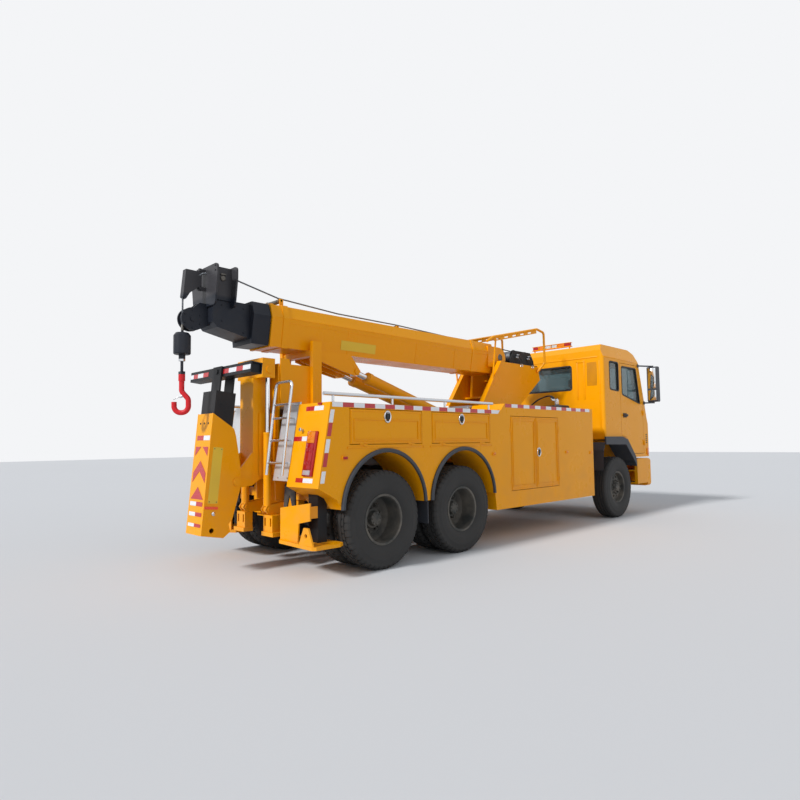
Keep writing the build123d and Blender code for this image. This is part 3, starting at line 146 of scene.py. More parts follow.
def lamp(name, kind, energy, size, place, target):
    """Adds a lamp that points from a place to a target."""
    data = bpy.data.lights.new(name, kind)
    data.energy = energy
    if kind == "SUN":
        data.angle = size
    else:
        data.shape, data.size = "DISK", size
    made = bpy.data.objects.new(name, data)
    scene.collection.objects.link(made)
    made.location = place
    made.rotation_euler = (Vector(target) - Vector(place)).to_track_quat("-Z", "Y").to_euler()
    return made


lamp("sun", "SUN", 2.6, radians(8), (0.6, 12, 9), (0, 0, 1))
lamp("fill", "SUN", 0.45, radians(60), (-9, 2, 6), (0, 0, 1))

floor = bpy.data.objects.new("floor", bpy.data.meshes.new("floor"))
scene.collection.objects.link(floor)
sheet = bmesh.new()
bmesh.ops.create_grid(sheet, x_segments=1, y_segments=1, size=60)
sheet.to_mesh(floor.data)
sheet.free()
# Matt pale concrete, uneven by a shade, so that the shadows read and nothing mirrors in it.
tree = new_finish("pale studio floor")
grain = add_node(tree, "ShaderNodeTexNoise", links={"Scale": 3.0, "Detail": 4.0})
tint = add_node(tree, "ShaderNodeMix", {"data_type": "RGBA"},
                {0: grain.outputs["Fac"], 6: linear("DADBDD"), 7: linear("E2E3E5")})
surface = add_node(tree, "ShaderNodeBsdfPrincipled",
                   links={"Base Color": tint.outputs[2], "Roughness": 0.95, "Specular IOR Level": 0.1})
add_node(tree, "ShaderNodeOutputMaterial", links={"Surface": surface.outputs[0]})
floor.data.materials.append(finishes["pale studio floor"])

# %% [markdown]
# ## Paint
# Truck enamel is sprayed on: under a clear gloss its colour is even, but the skin has a faint
# orange peel about 2 mm across, and road dust dulls it low down and on upward faces. One function
# mixes that from a colour, a gloss and an amount of dust, and the yellow body, the black
# underframe, the blue-black inner boom and the red hook are all made with it.

# %% Enamel paints


def enamel(name, colour, deep, roughness, dust):
    """Sprayed paint: two near shades, an orange-peel skin and a film of dust low down."""
    tree = new_finish(name)
    place = add_node(tree, "ShaderNodeTexCoord")
    cloud = add_node(tree, "ShaderNodeTexNoise",
                     links={"Vector": place.outputs["Object"], "Scale": 1.1, "Detail": 5.0})
    shade = add_node(tree, "ShaderNodeMix", {"data_type": "RGBA"},
                     {0: cloud.outputs["Fac"], 6: linear(deep), 7: linear(colour)})
    height = add_node(tree, "ShaderNodeSeparateXYZ", links={0: place.outputs["Object"]})
    low = add_node(tree, "ShaderNodeMapRange",
                   links={0: height.outputs["Z"], 1: 0.2, 2: 1.5, 3: 1.0, 4: 0.12})
    speck = add_node(tree, "ShaderNodeTexNoise",
                     links={"Vector": place.outputs["Object"], "Scale": 3.5, "Detail": 5.0,
                            "Roughness": 0.55})
    patch = add_node(tree, "ShaderNodeMapRange",
                     links={0: speck.outputs["Fac"], 1: 0.42, 2: 0.72, 3: 0.0, 4: dust})
    film = add_node(tree, "ShaderNodeMath", {"operation": "MULTIPLY", "use_clamp": True},
                    {0: patch.outputs[0], 1: low.outputs[0]})
    dusty = add_node(tree, "ShaderNodeMix", {"data_type": "RGBA"},
                     {0: film.outputs[0], 6: shade.outputs[2], 7: linear("8C8378")})
    peel = add_node(tree, "ShaderNodeTexNoise",
                    links={"Vector": place.outputs["Object"], "Scale": 420.0, "Detail": 1.0})
    bump = add_node(tree, "ShaderNodeBump",
                    links={"Strength": 0.04, "Distance": 0.002, "Height": peel.outputs["Fac"]})
    gloss = add_node(tree, "ShaderNodeMapRange",
                     links={0: speck.outputs["Fac"], 1: 0.3, 2: 0.8, 3: roughness, 4: roughness + 0.16})
    paint = add_node(tree, "ShaderNodeBsdfPrincipled",
                     links={"Base Color": dusty.outputs[2], "Roughness": gloss.outputs[0],
                            "Normal": bump.outputs[0], "Specular IOR Level": 0.22})
    add_node(tree, "ShaderNodeOutputMaterial", links={"Surface": paint.outputs[0]})


def second_colour(tree, zone, colour):
    """Paints the part of an enamel that a zone marks in another colour."""
    paint = next(made for made in tree.nodes if made.type == "BSDF_PRINCIPLED")
    first = paint.inputs["Base Color"].links[0].from_socket
    both = add_node(tree, "ShaderNodeMix", {"data_type": "RGBA"}, {0: zone, 6: first, 7: linear(colour)})
    tree.links.new(both.outputs[2], paint.inputs["Base Color"])


PAINTS = (
    # a warm, even and glossy yellow that says works vehicle from afar
    ("yellow enamel", "F7A800", "F09D00", 0.24, 0.18),
    # the inner boom: nearly black, with a blue cast where light slides along it
    ("blue-black enamel", "20252F", "1A1E27", 0.32, 0.35),
    # brushed-on frame paint: dull and dusty, so the underside stays quiet
    ("black underframe paint", "26272A", "1C1D20", 0.55, 0.7),
    # rims greyed by brake dust, a shade lighter than the rubber round them
    ("dusty wheel paint", "4A4B49", "3C3D3B", 0.55, 0.8),
    # the crossbar: harder and cleaner than the frame, with a soft highlight on its edges
    ("black crossbar enamel", "222327", "18191C", 0.42, 0.45),
    # sign plates: paler and flatter than the body, so a blank plate still reads as one
    ("yellow plate enamel", "EBCB4A", "DDB83A", 0.4, 0.15),
    # the hook: a clear warning red
    ("red hook enamel", "D62A30", "C01F26", 0.3, 0.25),
    # the oil tank: satin grey that drops back behind the cab
    ("dark tank enamel", "3A3C40", "303236", 0.5, 0.4),
    # the valve chest: khaki primer, the one dull warm spot there
    ("tan chest enamel", "A08C6A", "8E7B5C", 0.5, 0.4),
    # a stabiliser: a yellow foot and bracket on a black box
    ("two-tone leg enamel", "F7A800", "F09D00", 0.26, 0.25),
)
for row in PAINTS:
    enamel(*row)

BOX_BOTTOM, BOX_AFT = 0.3655, TAIL + 0.7785     # the black box of a leg lies above and ahead of these
TOWER_LOW, TOWER_HIGH = 2.96, 3.00              # the sheave tower's paint turns grey above these heights
tree = finishes["two-tone leg enamel"].node_tree
place = add_node(tree, "ShaderNodeTexCoord")
spot = add_node(tree, "ShaderNodeSeparateXYZ", links={0: place.outputs["Object"]})
above = add_node(tree, "ShaderNodeMath", {"operation": "GREATER_THAN"},
                 {0: spot.outputs["Z"], 1: BOX_BOTTOM})
ahead_of = add_node(tree, "ShaderNodeMath", {"operation": "LESS_THAN"}, {0: spot.outputs["Y"], 1: BOX_AFT})
box_zone = add_node(tree, "ShaderNodeMath", {"operation": "MULTIPLY"},
                    {0: above.outputs[0], 1: ahead_of.outputs[0]})
second_colour(tree, box_zone.outputs[0], "1B1C1F")

tree = finishes["blue-black enamel"].node_tree
place = add_node(tree, "ShaderNodeTexCoord")
spot = add_node(tree, "ShaderNodeSeparateXYZ", links={0: place.outputs["Object"]})
tower_zone = add_node(tree, "ShaderNodeMapRange",
                      links={0: spot.outputs["Z"], 1: TOWER_LOW, 2: TOWER_HIGH, 3: 0.0, 4: 1.0})
second_colour(tree, tower_zone.outputs[0], "3E3D40")
print("paints", len(finishes))

# %% [markdown]
# ## Rubber, plastic, metal and glass
# The other finishes are told apart by how they were made. Tyre rubber is matt with a brown bloom,
# mudguards are injection moulded with a fine leather grain, rails are polished and then brushed
# along their length, deck plate is rolled with raised lugs, and the cab windows are tinted.

# %% The other finishes


def grained(name, colour, deep, roughness, grain_scale, grain_depth, metallic=0.0, stretch=(1, 1, 1)):
    """A surface whose look comes from one grain: moulded, rolled, cast or brushed."""
    tree = new_finish(name)
    place = add_node(tree, "ShaderNodeTexCoord")
    drawn = add_node(tree, "ShaderNodeMapping", links={"Vector": place.outputs["Object"], "Scale": stretch})
    grain = add_node(tree, "ShaderNodeTexNoise",
                     links={"Vector": drawn.outputs[0], "Scale": grain_scale, "Detail": 3.0})
    cloud = add_node(tree, "ShaderNodeTexNoise",
                     links={"Vector": place.outputs["Object"], "Scale": 4.0, "Detail": 6.0})
    shade = add_node(tree, "ShaderNodeMix", {"data_type": "RGBA"},
                     {0: cloud.outputs["Fac"], 6: linear(deep), 7: linear(colour)})
    bump = add_node(tree, "ShaderNodeBump",
                    links={"Strength": grain_depth, "Distance": 0.001, "Height": grain.outputs["Fac"]})
    gloss = add_node(tree, "ShaderNodeMapRange",
                     links={0: cloud.outputs["Fac"], 1: 0.3, 2: 0.7, 3: roughness, 4: roughness + 0.12})
    skin = add_node(tree, "ShaderNodeBsdfPrincipled",
                    links={"Base Color": shade.outputs[2], "Roughness": gloss.outputs[0],
                           "Normal": bump.outputs[0], "Metallic": metallic})
    add_node(tree, "ShaderNodeOutputMaterial", links={"Surface": skin.outputs[0]})


GRAINS = (
    # matt, with a brown bloom on the side wall: it swallows light, so the tread shows by its shadows
    ("tyre rubber", "2F2E2D", "232323", 0.72, 260, 0.25),
    # injection moulded with a fine leather grain: a soft grey sheen on the flares
    ("moulded black plastic", "3B3E45", "2F3238", 0.5, 700, 0.2),
    # tube polished and then brushed along its length: long bright streaks
    ("polished stainless", "D5D8DC", "C2C6CB", 0.18, 500, 0.06, 1.0, (1, 0.05, 1)),
    # rolled plate scuffed by boots: a broad, broken shine
    ("rolled aluminium deck", "A6A9AD", "8E9195", 0.42, 60, 0.3, 1.0),
    # mill-finish sheet at the tail: nearly white in the sun
    ("bright sheet metal", "DADCDE", "C3C6CA", 0.34, 200, 0.1, 0.55),
    # ground and plated rods: a mirror line along each
    ("hard chrome", "E6E8EA", "DCDFE2", 0.08, 900, 0.02, 1.0),
    # woven seat cover: no shine and a fine tooth
    ("seat cloth", "3A3C42", "2C2E33", 0.85, 900, 0.5),
    # zinc dulled by grease: grey, with glints on the strands
    ("galvanised wire", "8B8F94", "6E7277", 0.42, 300, 0.3, 1.0),
    # turned collars: small warm glints at the rollers' ends
    ("brass", "B98B3C", "A1762C", 0.35, 300, 0.1, 1.0),
    # bare bolts and pins: brown in the hollows
    ("worn steel", "7D7B77", "55504A", 0.5, 350, 0.3, 0.8),
    # silvered glass: a sharp picture of the yard
    ("mirror glass", "E8ECEF", "DDE2E6", 0.03, 900, 0.0, 1.0),
    # window profile: the darkest line on the cab
    ("black rubber seal", "17181A", "101113", 0.55, 600, 0.15),
    # hose cover: satin, a shade lighter than the seals
    ("black rubber hose", "1E1F21", "161718", 0.6, 400, 0.15),
)
for row in GRAINS:
    grained(*row)


def clear(name, colour, roughness, transmission, ior, glow):
    """A see-through or lens material with a little unevenness in its moulding."""
    tree = new_finish(name)
    place = add_node(tree, "ShaderNodeTexCoord")
    wave = add_node(tree, "ShaderNodeTexNoise", links={"Vector": place.outputs["Object"], "Scale": 2.5})
    tint = add_node(tree, "ShaderNodeMapRange",
                    links={0: wave.outputs["Fac"], 1: 0.0, 2: 1.0, 3: roughness, 4: roughness + 0.02})
    pane = add_node(tree, "ShaderNodeBsdfPrincipled",
                    links={"Base Color": linear(colour), "Roughness": tint.outputs[0],
                           "Transmission Weight": transmission, "IOR": ior,
                           "Emission Color": linear(colour), "Emission Strength": glow})
    add_node(tree, "ShaderNodeOutputMaterial", links={"Surface": pane.outputs[0]})


CLEARS = (
    # grey-green tint: the seats show through it, darkened
    ("tinted cab glass", "8FA3A6", 0.02, 0.85, 1.45, 0.0),
    # acrylic lenses, coloured right through, that glow a little at their edges
    ("red lamp lens", "B3121A", 0.12, 0.25, 1.49, 0.05),
    ("amber lamp lens", "F08A12", 0.12, 0.25, 1.49, 0.05),
    # uncoloured acrylic: a pale, wet glint
    ("clear lamp lens", "E9EEF2", 0.05, 0.6, 1.49, 0.0),
)
for row in CLEARS:
    clear(*row)
print("finishes", len(finishes))

# %% Each solid part gets its finish
COATS = {
    "yellow enamel": ["body_right", "body_left", "boom_outer", "boom_pedestal", "boom_rest", "rear_frame",
                      "bumper", "cab_shell", "cab_door_right", "cab_door_left", "underlift_column",
                      "underlift_arm", "lift_cylinder_barrels"]
    + [n for n in nodes if n.startswith("locker_")],
    "blue-black enamel": ["boom_inner", "hook_weight"],
    "black crossbar enamel": ["underlift_arm_inner", "crossbar"],
    "two-tone leg enamel": ["stabiliser_leg_right", "stabiliser_leg_left"],
    "black underframe paint": ["chassis_frame", "front_axle", "rear_axles", "leaf_springs", "engine_block",
                               "steering_knuckle_right", "steering_knuckle_left", "winch"],
    "dusty wheel paint": [n for n in nodes if n.startswith("rim")],
    "red hook enamel": ["crane_hook"],
    "tyre rubber": [n for n in nodes if n.startswith("tyre")],
    "moulded black plastic": ["mudguards", "arch_flares", "mirrors", "cab_interior"],
    "polished stainless": ["rails_and_ladder"],
    "rolled aluminium deck": ["deck_floor"],
    "hard chrome": ["lift_cylinder_rods"],
    "tinted cab glass": ["cab_glass", "door_glass_right", "door_glass_left"],
    "red lamp lens": ["lamps"],
}
for finish, names in COATS.items():
    for name in names:
        mesh = nodes[name].data
        mesh.materials.clear()
        mesh.materials.append(finishes[finish])
print("coated", sum(len(names) for names in COATS.values()), "of", len(nodes))

# %% [markdown]
# ## Small shapes to build the rest from
# Almost everything on a truck body is a turned part, a folded plate or a rounded block, so a few
# helpers make those: a box with eased edges, a lathe shape, a plate from its outline, a flat frame
# and a thin film that lies on a panel. A small shape is made once and copied to each place it is
# needed, and one call at the end makes the finished shape ride on the right body.

# %% Shapes, and how a finished one joins the truck
shift = Matrix.Translation


def ease_edges(part, corner, segments=2, edges=None):
    """Rounds a small shape's edges, all of them unless some are named."""
    bmesh.ops.bevel(part, geom=edges or part.edges[:], offset=corner, segments=segments, affect="EDGES",
                    profile=0.5, material=-1)


def thicken(part, faces, step):
    """Grows flat faces along a step."""
    grown = bmesh.ops.extrude_face_region(part, geom=faces)
    moved = [v for v in grown["geom"] if isinstance(v, bmesh.types.BMVert)]
    bmesh.ops.translate(part, verts=moved, vec=step)


def leave_rim(part, width, thick):
    """Cuts a flat part down to a rim and makes that as thick as stated towards +Y."""
    middle = part.faces[:]
    bmesh.ops.inset_region(part, faces=middle, thickness=width, use_boundary=True, use_even_offset=True)
    bmesh.ops.delete(part, geom=middle, context="FACES")
    thicken(part, part.faces[:], (0, thick, 0))
    bmesh.ops.recalc_face_normals(part, faces=part.faces[:])


def turned_part(profile, steps=32):
    """A lathe shape about Z from (radius, height) points."""
    part = bmesh.new()
    points = [part.verts.new((r, 0, h)) for r, h in profile]
    lines = [part.edges.new(pair) for pair in zip(points, points[1:])]
    bmesh.ops.spin(part, geom=points + lines, cent=(0, 0, 0), axis=(0, 0, 1), angle=2 * pi, steps=steps,
                   use_merge=True)
    bmesh.ops.remove_doubles(part, verts=part.verts[:], dist=1e-6)
    bmesh.ops.recalc_face_normals(part, faces=part.faces[:])
    return part


def plate_part(outline, thick, corner):
    """A plate cut to an outline of (X, Z) points, as thick as stated towards +Y."""
    part = bmesh.new()
    face = part.faces.new([part.verts.new((x, 0, z)) for x, z in outline])
    thicken(part, [face], (0, thick, 0))
    bmesh.ops.recalc_face_normals(part, faces=part.faces[:])
    ease_edges(part, corner)
    return part


def frame_part(wide, high, bar, thick, ease):
    """A rectangular frame in X and Z, its bars as wide and thick as stated, eased on its outer face."""
    part = bmesh.new()
    upright = Matrix.Rotation(pi / 2, 4, "X") @ Matrix.Diagonal((wide, high, 1, 1))
    bmesh.ops.create_grid(part, x_segments=1, y_segments=1, size=0.5, matrix=upright)
    leave_rim(part, bar, thick)
    ease_edges(part, ease, edges=[e for e in part.edges if all(abs(v.co.y - thick) < 1e-6 for v in e.verts)
                                  and e.calc_face_angle(0) > 0.5])
    return part


def add_part(shape, part, at=Matrix(), coat=0):
    """Adds a copy of a small shape, moved to its place, in one of the piece's coats."""
    for face in part.faces:
        face.material_index = coat
    copy = bpy.data.meshes.new("copy")
    part.to_mesh(copy)
    copy.transform(at)
    if at.determinant() < 0:
        copy.flip_normals()
    shape.from_mesh(copy)
    bpy.data.meshes.remove(copy)


def add_film(shape, corners, coat=0, out=(0, 1, 0), thick=0.0012):
    """Lays a thin flat patch through these corners, its thickness growing to the stated side."""
    face = shape.faces.new([shape.verts.new(corner) for corner in corners])
    face.material_index = coat
    face.normal_update()
    if face.normal.dot(Vector(out)) < 0:
        face.normal_flip()
    thicken(shape, [face], face.normal * thick)


def add_block(shape, size, at, coat=0, ease=0.004):
    """Adds a block of a size at a place, its edges eased."""
    part = bmesh.new()
    bmesh.ops.create_cube(part, size=1, matrix=Matrix.Diagonal((*size, 1)))
    ease_edges(part, ease)
    add_part(shape, part, at, coat)
    part.free()


def add_turned(shape, profile, at, coat=0, steps=32):
    """Adds a lathe shape that is needed only once or twice."""
    part = turned_part(profile, steps)
    add_part(shape, part, at, coat)
    part.free()


def at_place(x, y, z, turn=Matrix()):
    """The matrix that puts a part at (x, z) and at y from the rear axle, turned first."""
    return shift((x, TAIL + y, z)) @ turn


def around(count, radius, height=0.0):
    """The places of a ring of bolts about Z."""
    return [Matrix.Rotation(2 * pi * i / count, 4, "Z") @ shift((radius, 0, height)) for i in range(count)]


def on_side(side, x, y, z):
    """The place on one side of the truck where a part's +Y looks outwards."""
    return at_place(side * x, y, z, FACING[side])


def settle(shape, name, coats, body, edge=35):
    """Makes the finished shape a piece that rides on one body, or on none yet."""
    bmesh.ops.recalc_face_normals(shape, faces=shape.faces[:])
    mesh = bpy.data.meshes.new(name)
    shape.to_mesh(mesh)
    shape.free()
    for coat in coats:
        mesh.materials.append(finishes[coat])
    mesh.shade_smooth()
    mesh.set_sharp_from_angle(angle=radians(edge))
    piece = bpy.data.objects.new(name, mesh)
    scene.collection.objects.link(piece)
    if body:
        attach(piece, body)
    return piece


OUT = {-1: Matrix.Rotation(-pi / 2, 4, "Y"), 1: Matrix.Rotation(pi / 2, 4, "Y")}   # turns +Z to the side
FACING = {-1: Matrix.Rotation(pi / 2, 4, "Z"), 1: Matrix.Rotation(-pi / 2, 4, "Z")}   # turns +Y to the side
AFT = Matrix.Rotation(-pi / 2, 4, "X")                                           # turns +Z to the tail

# %% [markdown]
# ## Tyres
# A truck tyre is a casing with a thin side wall, a thick shoulder and a tread with four grooves
# round it. It is a lathe shape: one cross-section is spun about the axle. The cross blocks of a
# drive tyre are then cut by pushing in some faces of every fourth step, which is how a mould with
# raised bars leaves them. The twins on one hub are one piece, as they turn together.

# %% Ten tyres with grooves and blocks
HALF_TYRE = (
    (0.104, 0.2645), (0.110, 0.2835), (0.121, 0.2975), (0.1335, 0.322), (0.1395, 0.345), (0.1405, 0.349),
    (0.1418, 0.380), (0.1418, 0.410), (0.1412, 0.430), (0.1422, 0.436), (0.1402, 0.442), (0.137, 0.470),
    (0.1322, 0.498), (0.1335, 0.503), (0.130, 0.509), (0.124, 0.522), (0.115, 0.532), (0.104, 0.5375),
    (0.079, 0.5400), (0.0765, 0.5285), (0.0705, 0.5285), (0.068, 0.5405), (0.033, 0.5417),
    (0.0305, 0.5300), (0.0245, 0.5300), (0.022, 0.5420),
)


def tyre_part(steps, drive):
    """One tyre about Z: the spun casing, with cross grooves every fourth step on a drive tyre."""
    half = [(radius, across) for across, radius in HALF_TYRE]
    ring = half + [(radius, -across) for radius, across in reversed(half)] + [half[0]]
    part = turned_part(ring, steps)
    slots = []
    for face in part.faces:
        middle = face.calc_center_median()
        step = int(round((atan2(middle.y, middle.x) / (2 * pi)) * steps - 0.5)) % steps
        shoulder = 0.1 < abs(middle.z) < 0.1345 and middle.xy.length > 0.5
        rib = (0.034 < abs(middle.z) < 0.067 or 0.080 < abs(middle.z) < 0.103) and middle.xy.length > 0.536
        offset = 2 if abs(middle.z) < 0.07 else 0
        if (shoulder or (rib and drive)) and (step + offset) % 4 == 0:
            slots.append(face)
    grown = bmesh.ops.extrude_face_region(part, geom=slots)
    pushed = [v for v in grown["geom"] if isinstance(v, bmesh.types.BMVert)]
    bmesh.ops.scale(part, verts=pushed, vec=(0.984, 0.984, 1))
    bmesh.ops.delete(part, geom=slots, context="FACES")
    bmesh.ops.recalc_face_normals(part, faces=part.faces[:])
    return part


WHEEL_SETS = (
    ("front", -5.8, (1.050,), "wheel_front", "tyre_front", False),
    ("mid", -1.35, (1.092, 0.762), "wheels_mid", "tyres_mid", True),
    ("rear", 0.0, (1.092, 0.762), "wheels_rear", "tyres_rear", True),
)
for place, y, stations, body, node, drive in WHEEL_SETS:
    casing = tyre_part(180 if drive else 144, drive)
    for side_name, side in SIDES:
        shape = bmesh.new()
        for x in stations:
            add_part(shape, casing, at_place(side * x, y, WHEEL_Z, OUT[side]))
        piece = settle(shape, f"tyres_{place}_{side_name}", ["tyre rubber"], f"{body}_{side_name}")
        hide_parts(f"{node}_{side_name}")
    print(place, "tyre faces", len(casing.faces))
    casing.free()

# %% [markdown]
# ## Wheel nuts
# Ten nuts hold each wheel on a circle of studs. A nut is a six-sided cone with a washer under it
# and a short stud end standing out, so three small cones make one, and it is copied round the
# circle. The ones of the dished rear wheels sit deep in the shadow of the rim.

# %% Nuts, stud ends and hub caps
nut = bmesh.new()
bmesh.ops.create_cone(nut, cap_ends=True, segments=6, radius1=0.0185, radius2=0.0175, depth=0.024,
                      matrix=shift((0, 0, 0.017)))
bmesh.ops.create_cone(nut, cap_ends=True, segments=16, radius1=0.023, radius2=0.021, depth=0.006,
                      matrix=shift((0, 0, 0.003)))
bmesh.ops.create_cone(nut, cap_ends=True, segments=12, radius1=0.0105, radius2=0.009, depth=0.016,
                      matrix=shift((0, 0, 0.036)))
small_bolt = bmesh.new()
bmesh.ops.create_cone(small_bolt, cap_ends=True, segments=6, radius1=0.010, radius2=0.0092, depth=0.009,
                      matrix=shift((0, 0, 0.0045)))
# For each wheel, its rings of bolts: the part, its coat, its place outwards, the radius and the count.
DRIVE_RINGS = ((nut, 0, 0.939, 0.160, 10), (small_bolt, 1, 1.0775, 0.060, 8))
BOLT_RINGS = {"front": ((nut, 0, 1.116, 0.117, 10), (small_bolt, 1, 1.1625, 0.052, 6)),
              "mid": DRIVE_RINGS, "rear": DRIVE_RINGS}
for place, y, stations, body, node, drive in WHEEL_SETS:
    for side_name, side in SIDES:
        shape = bmesh.new()
        for part, coat, x, radius, count in BOLT_RINGS[place]:
            for spot in around(count, radius):
                add_part(shape, part, at_place(side * x, y, WHEEL_Z, OUT[side] @ spot), coat)
        settle(shape, f"wheel_nuts_{place}_{side_name}", ["worn steel", "dusty wheel paint"],
               f"{body}_{side_name}")
print("nuts a wheel", 10)

# %% [markdown]
# ## Reflective tape
# The red and white film along the body's edges is made of tiny prisms under a clear skin, which is
# why it looks like a fine honeycomb close up and flat from afar. It is cut in 150 mm lengths and
# pressed on, so each length is a thin film that follows the panel under it, the slanting tail too.

# %% Tape film
LEAN = 0.18152          # the tail face leans back by this many radians as it goes down


def tape_film(name, colour, edge):
    """Retroreflective film: cells about 4 mm wide, coarse enough to show, under clear plastic."""
    tree = new_finish(name)
    place = add_node(tree, "ShaderNodeTexCoord")
    cells = add_node(tree, "ShaderNodeTexVoronoi", {"feature": "DISTANCE_TO_EDGE"},
                     {"Vector": place.outputs["Object"], "Scale": 220.0, "Randomness": 0.15})
    line = add_node(tree, "ShaderNodeMapRange",
                    links={0: cells.outputs["Distance"], 1: 0.0, 2: 0.09, 3: 1.0, 4: 0.0})
    tint = add_node(tree, "ShaderNodeMix", {"data_type": "RGBA"},
                    {0: line.outputs[0], 6: linear(colour), 7: linear(edge)})
    grime = add_node(tree, "ShaderNodeTexNoise",
                     links={"Vector": place.outputs["Object"], "Scale": 6.0, "Detail": 6.0})
    dull = add_node(tree, "ShaderNodeMapRange",
                    links={0: grime.outputs["Fac"], 1: 0.3, 2: 0.7, 3: 0.18, 4: 0.4})
    film = add_node(tree, "ShaderNodeBsdfPrincipled",
                    links={"Base Color": tint.outputs[2], "Roughness": dull.outputs[0],
                           "Coat Weight": 0.4, "Coat Roughness": 0.08})
    add_node(tree, "ShaderNodeOutputMaterial", links={"Surface": film.outputs[0]})


tape_film("red reflective film", "B40D17", "C8303A")         # deep red with a lighter mesh in it
tape_film("white reflective film", "DDDFE4", "F4F5F7")       # cool white, the brightest thing on the body
tape_film("orange marker film", "F0420E", "F66A30")          # the one orange stripe on the arm
RED_WHITE = ["red reflective film", "white reflective film"]


def tail_y(z):
    """How far behind the rear axle the tail face stands at a height: 0.770 m at its top edge."""
    return 0.770 + (1.807 - z) * 0.160 / 0.872


def tail_patch(side, inner, outer, low, high):
    """The corners of a patch on the leaning tail face, 0.6 mm off it."""
    return [(side * x, TAIL + tail_y(z) + 0.0006, z)
            for x, z in ((inner, low), (outer, low), (outer, high), (inner, high))]


def side_patch(side, corners):
    """The corners of a patch on the flat body side, from (y, z) points."""
    return [(side * 1.2506, TAIL + y, z) for y, z in corners]


# %% Tape along the body and round the tail
for side_name, side in SIDES:
    shape = bmesh.new()
    y, coat = 0.749, 1
    while y > -1.98:
        end = max(y - (0.138 if y == 0.749 else 0.150), -2.13)
        slant = 0.045 if end < -1.98 else 0.0
        add_film(shape, side_patch(side, ((y, 1.757), (end, 1.757), (end - slant, 1.805), (y, 1.805))), coat,
                 (side, 0, 0))
        y, coat = end, 1 - coat
    y, coat = -2.262, 0
    while y > -4.60:
        end = max(y - 0.150, -4.735)
        add_film(shape, side_patch(side, ((y, 1.852), (end, 1.852), (end, 1.900), (y, 1.900))), coat,
                 (side, 0, 0))
        y, coat = end, 1 - coat
    for high, low, coat in ((1.727, 1.594, 1), (1.590, 1.456, 0), (1.425, 1.288, 1), (1.284, 1.147, 0),
                            (1.104, 0.985, 1)):
        strip = ((tail_y(high) - 0.016, high), (tail_y(low) - 0.016, low),
                 (tail_y(low) - 0.066, low), (tail_y(high) - 0.066, high))
        add_film(shape, side_patch(side, strip), coat, (side, 0, 0))
    for inner, middle, outer, low, high in ((0.848, 0.992, 1.151, 1.726, 1.773),
                                            (0.702, 0.851, 0.960, 1.410, 1.458),
                                            (0.847, 0.975, 1.140, 0.985, 1.030)):
        add_film(shape, tail_patch(side, inner, middle, low, high), 0)
        add_film(shape, tail_patch(side, middle, outer, low, high), 1)
    settle(shape, f"reflective_tape_{side_name}", RED_WHITE, "truck")
print("tape on both sides")

# %% [markdown]
# ## Chevrons and stripes on the underlift
# The folded arm stands behind the truck like a tail board, so its rear face carries upward arrows
# and short bars. They are drawn in the arm's own leaning frame: metres behind the fold pin and
# metres up along the arm. The crossbar on top has its two groups of stripes, and the long plate on
# the arm's side is a blank one.

# %% Markings in the arm's frame
ARM_FRAME = shift((0, TAIL + 1.216, 0.980)) @ Matrix.Rotation(radians(5.9), 4, "X")


def arm_patch(corners, back=0.3537):
    """Corners on the arm's rear face from (x, up) points; the face leans in a little lower down."""
    return [ARM_FRAME @ Vector((x, back - max(0.0, 0.0055 * (0.70 - up) / 1.28), up)) for x, up in corners]


CHEVRONS = (
    (((0.140, 0.349), (0.016, 0.349), (0.140, 0.250)), 0),
    (((-0.140, 0.250), (-0.016, 0.349), (-0.140, 0.349)), 0),
    (((0.140, 0.073), (0.0, 0.199), (0.0, 0.089), (0.140, -0.031)), 0),
    (((0.0, 0.199), (-0.140, 0.073), (-0.140, -0.031), (0.0, 0.089)), 0),
    (((0.0, -0.077), (-0.140, -0.206), (0.140, -0.206)), 0),
    (((0.130, 0.468), (-0.020, 0.468), (-0.020, 0.418), (0.130, 0.418)), 0),
    (((-0.020, 0.468), (-0.160, 0.468), (-0.160, 0.418), (-0.020, 0.418)), 1),
)
BARS = ((-0.232, -0.276), (-0.341, -0.382), (-0.458, -0.492))
shape = bmesh.new()
for corners, coat in CHEVRONS:
    add_film(shape, arm_patch(corners), coat)
for high, low in BARS:
    add_film(shape, arm_patch(((0.140, high), (0.0, high), (0.0, low), (0.140, low))), 1)
    add_film(shape, arm_patch(((0.0, high), (-0.140, high), (-0.140, low), (0.0, low))), 0)
settle(shape, "arm_chevrons", RED_WHITE, "arm")

shape = bmesh.new()
STRIPES = ((0.680, 0.606, 1), (0.606, 0.497, 0), (0.497, 0.364, 1), (0.364, 0.238, 0),
           (-0.100, -0.225, 0), (-0.225, -0.385, 1), (-0.385, -0.520, 0), (-0.520, -0.672, 1))
for near, far, coat in STRIPES:
    add_film(shape, arm_patch(((near, 1.203), (far, 1.203), (far, 1.153), (near, 1.153)), back=0.2507), coat)
settle(shape, "crossbar_stripes", RED_WHITE, "crossbar")
print("arm markings", len(CHEVRONS) + 2 * len(BARS), "stripes", len(STRIPES))

# %% [markdown]
# ## Lamps
# A tail lamp is a moulded bed with coloured lenses pressed on it, and each lens has a few moulded
# rings that spread the light. The engineering model has one block for each lamp, so these replace
# it: boxes with eased edges for beds and lenses, and turned rings on them. The tail clusters lean
# with the tail face, which one matrix does for a whole cluster.

